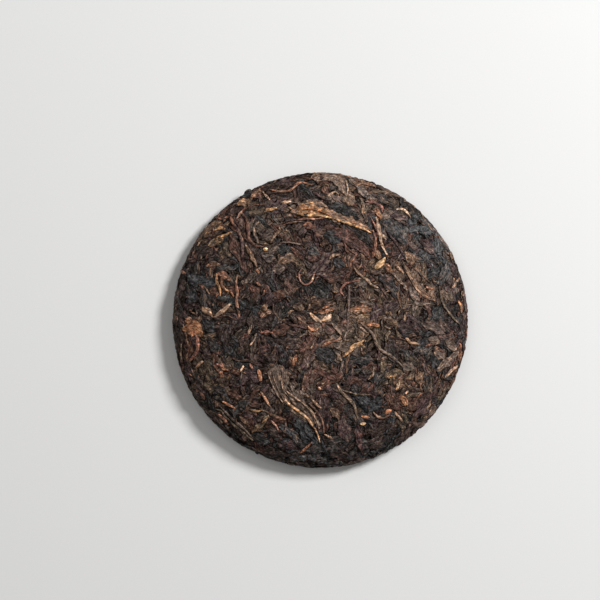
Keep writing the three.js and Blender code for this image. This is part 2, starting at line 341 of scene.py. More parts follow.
def finer(grid, times, axis):
    """A grid with `times` straight steps in place of each one along an axis."""
    at = np.linspace(0, grid.shape[axis] - 1, (grid.shape[axis] - 1) * times + 1)
    low = np.minimum(at.astype(int), grid.shape[axis] - 2)
    part = np.expand_dims(at - low, tuple(k for k in range(grid.ndim) if k != axis))
    return np.take(grid, low, axis) * (1 - part) + np.take(grid, low + 1, axis) * part


print(f"map of the pile: {CELLS} by {CELLS} cells of {CELL} mm on each side")

# %% [markdown]
# A leaf is a ribbon along an arc, wide in the middle, with torn edges. It is a grid of points: stations along
# it, and at each station a line of points across it.
#
# No two leaves are alike, because each has a phase, a number from 0 to 1. Times a long distance, it says
# where on the squares of noise the leaf reads its edges, its wrinkles and its grain.

# %% The grid of a leaf
EDGE_WAVES = 1.4  # how much closer together the waves of an edge are than the wrinkles
EDGE_LIMITS = (0.35, 1.7)  # the least and most that a torn edge stands out, as shares of half the width
EDGE_PHASE = (370, 290)
EDGES_APART = 17
GRAIN_PHASE = (530, 710, 97)


def arc(x, y, heading, length, bend, t):
    """Places along arcs at t from 0 to 1: each chord starts at the arc's middle, half the turn away."""
    turned = bend[:, None] * (t - 0.5)
    way = heading[:, None] + turned / 2
    chord = length[:, None] * (t - 0.5) * np.sinc(turned / 2 / np.pi)
    return x[:, None] + chord * np.cos(way), y[:, None] + chord * np.sin(way), heading[:, None] + turned


def leaf_grid(x, y, wide, own, v):
    """Each leaf's grid of points, from its course out to both torn edges, and their places on its grain.

    A point lies v half widths to the side of the course, and a half width is made ragged by the noise that
    its own edge reads. Its place on the grain is how far along and across the leaf it is, plus the phase.
    """
    phase = own["phase"]
    dx = np.gradient(x, axis=1)
    dy = np.gradient(y, axis=1)
    step = np.hypot(dx, dy)
    along = np.cumsum(step, axis=1)
    edge_along = EDGE_WAVES * along + EDGE_PHASE[0] * phase
    left = 1 + own["ragged"] * read_tile(WRINKLE, edge_along, EDGE_PHASE[1] * phase)
    right = 1 + own["ragged"] * read_tile(WRINKLE, edge_along, EDGE_PHASE[1] * phase + EDGES_APART)
    half = np.where(v < 0, left, right).clip(*EDGE_LIMITS) * wide / 2
    places = [along + GRAIN_PHASE[0] * phase, half * v + GRAIN_PHASE[1] * phase, GRAIN_PHASE[2] * phase]
    grain = np.stack(np.broadcast_arrays(*places), -1)
    return x - dy / step * half * v, y + dx / step * half * v, grain

# %% [markdown]
# The back of a leaf is rounded where it is rolled and flat where it lies open, and it has ridges that turn
# round it where it is twisted. It is crumpled by the cloth, wrinkled by drying, and its ends dive between its
# neighbours.

# %% The body of a leaf
WRINKLE_HEIGHT = 0.12
BACK_FULLNESS = 0.85
FOLD_MEAN = 0.64  # the average of |cos|
FOLD_PHASE = 9
DIVE_POWER = 4


def leaf_body(grid_x, grid_y, grain, wide, own, v):
    """How high each point of a leaf stands over what the leaf lies on.

    Across the leaf the height is a flat-topped arch, (1 - |v|^roundness)^0.5, with folds |cos| that turn
    along it, and a lean, wrinkles and crumples are added to that. The ends dive.
    """
    t = np.linspace(0, 1, grid_x.shape[1])[None, :, None]
    back = np.sqrt(1 - np.abs(v) ** own["roundness"])
    turn = own["ridges"] * v + own["twist"] * t + FOLD_PHASE * own["phase"]
    folds = np.abs(np.cos(np.pi / 2 * turn)) - FOLD_MEAN
    thick = own["thick"] * (wide / wide.max(1, keepdims=True)) ** 0.5
    body = thick * (back * (BACK_FULLNESS + own["cut"] * folds) + own["lean"] * v)
    body = body + WRINKLE_HEIGHT * read_tile(WRINKLE, grain[..., 0], grain[..., 1]) * back
    body = body + own["crumple"] * read_tile(CRUMPLE, grid_x, grid_y) * back
    return body - own["dive"] * np.abs(2 * t - 1) ** DIVE_POWER

# %% [markdown]
# A layer is laid in one step, all its leaves at once, because leaves of one layer hardly cross. The map then
# takes the new heights, so the next layer lies over them.

# %% Laying a layer
EDGE_CROWDING = 0.42  # how far the lines of a leaf's grid crowd towards its edges, where it curves most
# painted shade: each leaf's edges are painted dark, for the shadowed gaps beside them; this power keeps that
# shade close to the edge
EDGE_SHADE_SHARPNESS = 5  # the power that keeps the dark of the edge close to it
KEEL_DEPTH = 0.9  # how far a leaf's closed underside hangs below the level it lies on
LIMP_ROUNDS = 3
MAP_STEPS = 3  # steps of the map's grid for each one of the leaf's, so that no cell under a leaf is missed
DRAWN_TRAITS = ("thick", "roundness", "cut", "ridges", "twist", "ragged", "crumple", "dive", "lean", "phase")
layers = []


def lay(kind, side, x, y, wide, leaf, across):
    """Lays one layer of leaves, each a grid of `across` points over its course, and a keel sunk below it.

    x, y and wide hold the course and the width at its stations. The drape is the share in which a leaf
    follows what lies under each of its points, and the rest follows the average across it.
    """
    x, y, wide = x[..., None], y[..., None], wide[..., None]
    own = {trait: leaf[trait][:, None, None] for trait in DRAWN_TRAITS}
    even = np.linspace(-1, 1, across)
    v = np.sin(EDGE_CROWDING * np.pi * even) / np.sin(EDGE_CROWDING * np.pi)
    grid_x, grid_y, grain = leaf_grid(x, y, wide, own, v)
    body = leaf_body(grid_x, grid_y, grain, wide, own, v)
    under = smoothed(pile[side][cells(grid_x, grid_y)], LIMP_ROUNDS)
    level = under.mean(2, keepdims=True)
    lift = leaf["drape"] * under + (1 - leaf["drape"]) * level + body
    dense = [finer(finer(grid, MAP_STEPS, 1), MAP_STEPS, 2) for grid in (grid_x, grid_y, lift)]
    np.maximum.at(pile[side], cells(dense[0], dense[1]), dense[2])
    layers.append(
        {
            "kind": kind,
            "side": side,
            "x": np.concatenate([grid_x, x], 2),
            "y": np.concatenate([grid_y, y], 2),
            "lift": np.concatenate([lift, level - KEEL_DEPTH], 2),
            # how much painted edge shade each line across the leaf gets, and full painted shade on the keel
            "edge": np.append(np.abs(even) ** EDGE_SHADE_SHARPNESS, 1),
            "grain": np.concatenate([grain, grain[:, :, :1]], 2),
            "tint": leaf["tint"],
            "vein": leaf["vein"],
            "reach": leaf["reach"],
        }
    )

# %% [markdown]
# Besides its course and width, each leaf has traits of its own: how thick and how round it is, how deep and
# how many its folds are, how ragged its edges, how far it follows what it lies on. They are drawn between
# limits, and a kind of leaf is a set of limits.

# %% The traits of the leaves
MOST_TWIST = 4
NEAR = (0.5, 1.5)
FAR = (0.2, 1.8)


def spread(low, high, count):
    """Even draws between two limits, one for each leaf."""
    return rng.uniform(low, high, count)


def spread_about(middle, shares, count):
    """Draws between two shares of a middle value."""
    return spread(shares[0] * middle, shares[1] * middle, count)


def traits(
    tint, vein, thick, roundness, cut, ridges,
    ragged=0.25, crumple=0.12, dive=0.4, lean=0.35, drape=0.5, reach=RELIEF,
):
    """What each leaf has besides its course and width. Reach is how far it may stand out once pressed."""
    count = len(tint)
    return {
        "tint": tint,
        "vein": vein,
        "thick": spread(*thick, count),
        "roundness": spread(*roundness, count),
        "cut": spread(*cut, count),
        "ridges": spread(*ridges, count),
        "twist": spread(-MOST_TWIST, MOST_TWIST, count),
        "ragged": spread_about(ragged, NEAR, count),
        "crumple": spread_about(crumple, NEAR, count),
        "dive": spread_about(dive, FAR, count),
        "lean": rng.normal(0, lean, count),
        "phase": spread(0, 1, count),
        "drape": drape,
        "reach": reach,
    }


def leaf_shape(thick, roundness, cut, ridges, **others):
    """The limits that a kind's shape is drawn between, and what else sets it apart from the usual leaf."""
    return {"thick": thick, "roundness": roundness, "cut": cut, "ridges": ridges, **others}


BROAD = leaf_shape((0.45, 0.7), (6, 12), (0.35, 0.6), (2.5, 5), bend=0.4, ragged=0.35, crumple=0.2)
ROLLED = leaf_shape((0.6, 1.0), (2.5, 5), (0.3, 0.5), (1.5, 3), bend=0.6)
THIN = leaf_shape((0.5, 0.75), (1.8, 2.4), (0, 0.2), (0.5, 1), bend=0.9, ripple=0.9, lean=0.1)
FLAKE = leaf_shape((0.35, 0.6), (4, 9), (0.1, 0.3), (0.5, 1.5), bend=0.6, ragged=0.4, dive=0.15)
print("kinds of scattered leaf: broad, rolled, thin, flake")

# %% [markdown]
# Most leaves of a cake can't be told apart, so they are scattered by rule: even places by the golden angle,
# sizes drawn between limits, and headings that follow a slow swirl across the face and run round the cake
# at the rim.

# %% Scattering a layer
GOLDEN_ANGLE = np.pi * (3 - np.sqrt(5))
PLACE_SPREAD = 1.6
SWIRL_TURN = 1.6
SWIRL_STRETCH = 0.8
HEADING_SPREAD = 0.45
RIM_HEADING_SPREAD = 0.35
RIM_STARTS = 0.78  # the share of the way to the rim where leaves start to run round the cake
RIM_FULL = 0.96  # and where all of them do
RIM_BEND = 0.15
WANDER_STRETCH = 2.4
WANDER_PHASE = (530, 910)
WIDEST = (0.6, 1.3)  # powers that put a leaf's widest place nearer its start or its tip
TAPER = (0.2, 0.5)  # powers of its width there, blunt to pointed
TIP = 0.015


def scatter(kind, side, mix, count, reach, length, width, steps, across, bend, ripple=0.7, **shape):
    """One layer of leaves all over a ring of a chart, from reach[0] to reach[1] away from its middle.

    Each leaf is a golden angle further round than the last, and so far out that all have the same area. The
    width is sin(pi t^widest)^taper: one power moves the widest place along the leaf, and the other blunts
    its tips.
    """
    n = np.arange(count)
    away = np.sqrt(reach[0] ** 2 + (n + 0.5) / count * (reach[1] ** 2 - reach[0] ** 2))
    angle = n * GOLDEN_ANGLE + spread(0, 2 * np.pi, 1)
    x = away * np.cos(angle) + rng.normal(0, PLACE_SPREAD, count)
    y = away * np.sin(angle) + rng.normal(0, PLACE_SPREAD, count)
    swirl = read_tile(SWIRL, SWIRL_STRETCH * x, SWIRL_STRETCH * y)
    free = SWIRL_TURN * swirl + rng.normal(0, HEADING_SPREAD, count)
    round_cake = angle + np.pi / 2 + rng.normal(0, RIM_HEADING_SPREAD, count)
    at_rim = rng.uniform(0, 1, count) < smoothstep(away, RIM_STARTS * RIM_S, RIM_FULL * RIM_S)
    heading = np.where(at_rim, round_cake, free)
    patched = patch_colours if side == FRONT else mix_colours
    leaf = traits(patched(mix, x, y), patched(VEIN_MIX, x, y), **shape)
    t = np.linspace(0, 1, steps + 1)[None, :]
    long = spread(*length, count)
    x, y, way = arc(x, y, heading, long, rng.normal(0, bend, count) + RIM_BEND * at_rim, t)
    phase = leaf["phase"][:, None]
    wander = spread_about(ripple, NEAR, count)[:, None] * np.sin(np.pi * t)
    wander_along = WANDER_STRETCH * t * long[:, None] + WANDER_PHASE[0] * phase
    wander = wander * read_tile(SWIRL, wander_along, WANDER_PHASE[1] * phase)
    widest = spread(*WIDEST, count)[:, None]
    taper = spread(*TAPER, count)[:, None]
    wide = spread(*width, count)[:, None] * np.sin(np.pi * t.clip(TIP, 1 - TIP) ** widest) ** taper
    lay(kind, side, x - np.sin(way) * wander, y + np.cos(way) * wander, wide, leaf, across)


def scatter_layers(side, outermost, rows):
    """Layers one over another, from rows.

    A row is the kind, its shape and mix, how many, their least distance from the middle, the limits of their
    length and width, and the steps along and points across each one.
    """
    for kind, shape, mix, count, innermost, length, width, steps, across in rows:
        scatter(kind, side, mix, count, (innermost, outermost), length, width, steps, across, **shape)

# %% [markdown]
# The face is laid from the ground up. Broad leaves close it first, in coarse grids because little of them
# shows. Rolled leaves, stems and smaller broad leaves lie over them in finer grids, and crumbs and flakes
# fill what is left.

# %% The leaves of the front
ROUND_THE_RIM = 10
FRONT_OUT = RIM_S + ROUND_THE_RIM
FRONT_LAYERS = [
    ("broad_brown_leaves", BROAD, BROWN_MIX, 130, 0, (16, 30), (9, 14), 10, 7),
    ("brown_leaves", ROLLED, BROWN_MIX, 200, 0, (14, 34), (3.4, 6.5), 12, 7),
    ("broad_dark_leaves", BROAD, DARK_MIX, 190, 0, (13, 28), (7, 13), 20, 12),
    ("dark_leaves", ROLLED, DARK_MIX, 240, 0, (14, 36), (3.4, 6.5), 16, 8),
    ("thin_stems", THIN, BROWN_MIX, 90, 0, (9, 30), (1.1, 2.0), 14, 5),
    ("broad_brown_leaves", BROAD, BROWN_MIX, 150, 0, (12, 26), (6, 11), 20, 12),
    ("brown_leaves", ROLLED, BROWN_MIX, 80, 0, (12, 26), (3.6, 7), 16, 8),
    ("dark_leaves", ROLLED, DARK_MIX, 80, 0, (12, 26), (3.6, 7), 16, 8),
    ("broad_dark_leaves", BROAD, DARK_MIX, 110, 0, (10, 22), (6, 10), 18, 11),
    ("thin_stems", THIN, BROWN_MIX, 90, 0, (9, 26), (1.1, 1.8), 14, 5),
    ("leaf_flakes", FLAKE, CRUMB_MIX, 200, 0, (2.5, 8), (1.4, 3.6), 5, 4),
    ("leaf_flakes", FLAKE, FLECK_MIX, 150, 0, (2, 6), (0.9, 2.2), 5, 4),
]
scatter_layers(FRONT, FRONT_OUT, FRONT_LAYERS)
print("front:", len(layers), "layers of scattered leaves")

# %% [markdown]
# Some leaves are landmarks: the long pale leaf under the top edge, the looped stem, the fan-shaped leaf low
# on the left. They are laid last, each at its own place, as the ones a picker would remember. Each row is
# the leaf's colour, the colour of its streaks, and a few places along its middle as seen from above, with
# the width there.

# %% The landmark leaves
OPEN_LANDMARKS = [
    ("charcoal", "sheen_slate", (4.6, 77.4, 4), (9, 77, 8), (15, 74.6, 8), (21.6, 70.8, 5), (25.6, 68, 2)),
    ("sheen_slate", "grey_brown", (42, 66, 6), (49, 62, 12), (54, 56, 10), (57, 51, 4)),
    ("sheen_slate", "charcoal", (60, 63, 4), (64, 69, 7), (68, 71, 4)),
    ("sheen_slate", "grey_brown", (67, 48, 4), (70, 43, 6), (71, 39, 4)),
    ("sheen_slate", "grey_brown", (79, 24, 5), (84, 32, 9), (86, 39, 5)),
    ("charcoal", "sheen_slate", (-79, 1, 4), (-75, -3, 8), (-70, -7, 6)),
    ("charcoal", "dark_brown", (-14, -85, 4), (-6, -86.5, 8), (2, -87, 5)),
    ("dark_brown", "mahogany", (8, 13, 3), (13, 16, 7), (17, 19, 4)),
    ("charcoal", "sheen_slate", (2, 57, 4), (8, 55.5, 8), (14, 53, 4)),
    ("dark_brown", "charcoal", (-38, -22, 4), (-33, -24, 8), (-28, -25, 4)),
    ("dark_brown", "charcoal", (-83, -38, 4), (-80.6, -44, 8), (-77, -49, 5)),
    ("charcoal", "sheen_slate", (-47, -77, 4), (-41, -80, 8), (-34, -82, 5)),
    ("charcoal", "dark_brown", (-75, -14, 4), (-70.4, -17, 8), (-66, -20, 4)),
    ("sheen_slate", "grey_brown", (-10, 49, 3), (-5.5, 47, 7), (-1, 44, 4)),
    ("mahogany", "dark_brown", (-60, 58, 4), (-57, 50, 9), (-53, 41, 9), (-50, 33, 4)),
    ("brown", "tan", (56, 46, 3), (60, 41.4, 7), (62, 37, 3)),
    ("grey_brown", "purple_brown", (67, -1, 3), (72, -3, 6), (78, -5, 8), (84, -8, 5)),
    ("dark_brown", "charcoal", (7, -43, 4), (13, -45, 9), (19, -44, 5)),
    ("charcoal", "dark_brown", (23, -80, 4), (28.4, -83, 8), (34, -84, 4)),
    ("dark_brown", "charcoal", (-36, -73, 4), (-31, -75, 7), (-26, -78, 4)),
    ("sheen_slate", "dark_brown", (8, 41, 3), (12, 38, 6.4), (16.6, 36, 3)),
    ("orange", "tan", (-91, 0.6, 3), (-87.4, -0.6, 6), (-84, -2, 4)),
    ("brown", "grey_brown", (-18.6, 9.6, 3), (-14.4, 9, 6), (-11, 7.6, 3)),
    ("grey_brown", "brown", (84, -13, 3), (88, -16.6, 7), (91, -20, 3)),
    ("grey_brown", "olive_brown", (54, -28.6, 3), (58.6, -31, 7), (63, -33, 4)),
    ("grey_brown", "brown", (79, 18.6, 3), (82.6, 16.8, 5.6), (86, 14, 3)),
    ("brown", "tan", (-65, 10.6, 3), (-61.6, 8.2, 5), (-58.6, 5.6, 3)),
    ("brown", "purple_brown", (6.6, -58.6, 3), (10, -62, 6.4), (13, -66, 3)),
    ("mahogany", "brown", (-32, 18.4, 3), (-28, 17.8, 7), (-23.6, 16, 4)),
    ("mahogany", "rust", (-12, 62.6, 3), (-7.6, 63.2, 6), (-3, 62, 3)),
    ("brown", "rust", (35, 48, 3), (37.8, 44.6, 5), (39.6, 41, 3)),
    ("brown", "orange", (42, 38, 3), (45.2, 35, 5), (48, 31, 3)),
    ("grey_brown", "brown", (72, -12, 3), (76.4, -13.4, 6), (80, -14.6, 3)),
    ("mahogany", "brown", (-62, -48, 3), (-57.6, -50, 7), (-53, -52, 3)),
    ("grey_brown", "sheen_slate", (-39, 43, 3), (-34.6, 42, 6), (-30, 42, 3)),
    ("grey_brown", "purple_brown", (-32, 34, 4), (-28, 34.6, 7), (-23.6, 35.4, 3)),
    ("brown", "olive_brown", (50, -40, 3), (54, -42, 6), (58, -44, 3)),
    ("dark_brown", "olive_brown", (12, -51, 3), (16, -52, 6), (20, -53, 3)),
    ("charcoal", "dark_brown", (-72, -45, 3), (-67.6, -46.4, 7), (-63, -48, 3)),
    ("olive_brown", "gold", (-75, 50, 3), (-70, 53, 7), (-65, 55, 4)),
    ("rust", "tan", (-40, 2.5, 3), (-36.6, 5, 6), (-32.6, 6.4, 3)),
    ("purple_brown", "grey_brown", (67, 54, 4), (71.5, 50, 8), (76, 45, 5)),
    ("brown", "grey_brown", (-29, 38, 4), (-24, 41, 6), (-20, 42, 7), (-15.6, 38.6, 3)),
    ("grey_brown", "tan", (76, -18, 4), (80, -22, 8), (84, -25, 5)),
    ("rust", "brown", (-69, 31, 3), (-64.4, 30, 6.4), (-60, 27, 3)),
    ("charcoal", "sheen_slate", (-3, -19, 5), (3, -23, 10), (9, -27, 6)),
    ("purple_brown", "grey_brown", (15.5, -62, 2), (14.5, -68, 7), (17, -75, 10), (19, -81, 5)),
    ("purple_brown", "mahogany", (24, -70, 4), (26, -77, 7), (28, -84, 6), (28, -90, 3)),
    ("sheen_slate", "charcoal", (25, -51, 6), (33, -56, 9), (40, -58, 5)),
    ("sheen_slate", "charcoal", (-10, -69, 3), (-8, -74, 5), (-5, -79, 3)),
    ("mahogany", "purple_brown", (4, 61, 5), (14, 58, 9), (24, 52, 9), (30, 46, 6), (33, 41, 3)),
    ("charcoal", "dark_brown", (17, 63, 2), (25, 59, 6), (31, 54, 5), (35, 49, 2)),
    ("purple_brown", "grey_brown", (-9, 29, 4), (-4, 34, 7.5), (3, 41, 8), (9, 45, 4)),
    ("mahogany", "purple_brown", (-5, -32, 3), (1, -34.5, 5), (6, -37, 5), (11, -40, 2)),
    ("olive_brown", "gold", (43, -38, 4), (49, -35, 8), (55, -35, 4)),
    ("grey_brown", "olive_brown", (8, -15, 3), (13, -17, 8), (18, -18, 7), (22, -20, 6), (26, -24, 3)),
    ("tan", "orange", (0, 74, 4), (4, 72.4, 8.6), (9, 70.6, 7.6), (14.5, 68.6, 6.6), (20.5, 66.4, 5.8),
     (26.5, 64, 4.8), (34, 59.8, 2.6)),
    ("gold", "orange", (-17, 73, 6), (-10, 73.8, 11), (-3, 73.2, 9.6), (3, 72, 8), (8, 70.4, 3)),
    ("tan", "orange", (-20, 72.4, 2), (-17, 73.4, 3.6), (-14.6, 75.4, 2)),
    ("grey_brown", "tan", (-15, 77.5, 2.4), (-7, 79.2, 5), (0, 78.2, 4.6), (5, 75.6, 2)),
    ("grey_brown", "tan", (-29, -29.6, 9), (-28.4, -34.6, 15.4), (-28, -39.6, 13), (-27.2, -44, 10),
     (-25.4, -49.6, 7.6), (-22.6, -54, 4.4), (-20, -57.6, 2)),
    ("grey_brown", "tan", (-22, -49.6, 3), (-17.6, -53, 6), (-12.4, -57.4, 6.4), (-7.6, -62.4, 5),
     (-3.6, -69, 3)),
    ("grey_brown", "olive_brown", (-21, -58, 1.6), (-15.6, -62, 3.4), (-9, -67.6, 2)),
    ("orange", "pale_tan", (19, 7, 3), (24, 7, 5), (29, 7.4, 6), (34, 7.5, 5)),
    ("tan", "pale_gold", (23, 2, 2.4), (27, 2.6, 3.8), (33, 3.6, 3)),
    ("dark_brown", "brown", (-9, 10, 5), (-3, 10.6, 9), (4, 11.4, 9), (10, 13, 5)),
    ("orange", "tan", (-5, 6, 2.6), (0, 6.6, 5), (5, 7.6, 5), (9, 8, 3)),
    ("grey_brown", "tan", (7, -1, 1.4), (10.5, -4.5, 3), (14, -9, 2)),
    ("orange", "gold", (-93, -6, 4), (-88.5, -5.6, 9), (-84.6, -5.6, 12), (-81.4, -8, 7), (-79, -11, 2)),
    ("tan", "gold", (-82, 9.5, 2.4), (-77.5, 7, 4.6), (-74, 5, 4), (-71.5, 2, 1.8)),
    ("brown", "gold", (-56, 78, 3), (-51, 79.5, 6), (-47, 79.5, 4)),
    ("brown", "rust", (-47, 82, 3), (-42, 86, 4), (-38, 86.5, 2.5)),
    ("grey_brown", "tan", (-4, 94, 4), (3, 96, 7), (10, 95.6, 8), (14.6, 91, 8), (17, 86, 5),
     (17.5, 82.5, 1.8)),
    ("grey_brown", "brown", (40.5, 67, 3), (44.5, 70.5, 5), (50, 73.5, 2.5)),
    ("orange", "gold", (37.8, 76.5, 1.6), (38, 73, 3.4), (39.8, 70.5, 4), (40.5, 68, 1.6)),
    ("grey_brown", "gold", (27, 81, 1.6), (28.6, 76, 2), (29.5, 71, 3), (31, 66, 3.6)),
    ("brown", "tan", (55, 40, 2), (57.5, 34, 3.6), (61, 28, 3.6), (65, 22, 4.6), (70, 16.5, 4),
     (76.5, 13, 1.4)),
    ("orange", "tan", (64, 22, 1.6), (68, 19, 3), (73, 15, 1.6)),
    ("grey_brown", "tan", (78, -34, 3), (83, -29.5, 5), (88, -25, 6), (93, -21, 3)),
    ("rust", "orange", (94, -15, 1.6), (95, -21, 3), (94, -28, 2)),
    ("orange", "gold", (53.5, -50, 2.4), (56.5, -54, 4), (57.6, -57.5, 2)),
    ("olive_brown", "gold", (-46, -75, 3), (-41, -71, 4.6), (-37, -67, 4), (-34, -62, 2)),
    ("brown", "rust", (-54.5, -64.5, 2), (-51, -67, 3.4), (-48, -70, 1.6)),
    ("mahogany", "rust", (-20, 49, 2), (-15, 44, 3.6), (-11, 40, 1.6)),
    ("mahogany", "brown", (12.5, 21, 2), (16.5, 27.5, 4), (20, 33, 3), (21, 35.5, 1.4)),
    ("olive_brown", "brown", (83, 18, 2.4), (86.5, 15.5, 4), (88.5, 12.5, 2)),
    ("brown", "rust", (-40, 6, 2.4), (-37, 9, 4), (-34.5, 10.5, 2)),
    ("brown", "rust", (-77, 36.5, 2.4), (-72, 38, 4), (-68, 37.5, 2.4)),
    ("brown", "rust", (24, 91, 1.6), (29, 92.5, 2.4), (35, 91.5, 3.2), (39, 89, 1.6)),
    ("olive_brown", "mahogany", (32, 85.5, 1.6), (38, 86.5, 2.6), (45, 86, 3), (51, 83.5, 1.6)),
]
print("landmark leaves:", len(OPEN_LANDMARKS))

# %% [markdown]
# The stems and the thin rolled leaves have their own rows, because they keep their width to their broken
# ends. The palest of them are what the eye finds first.

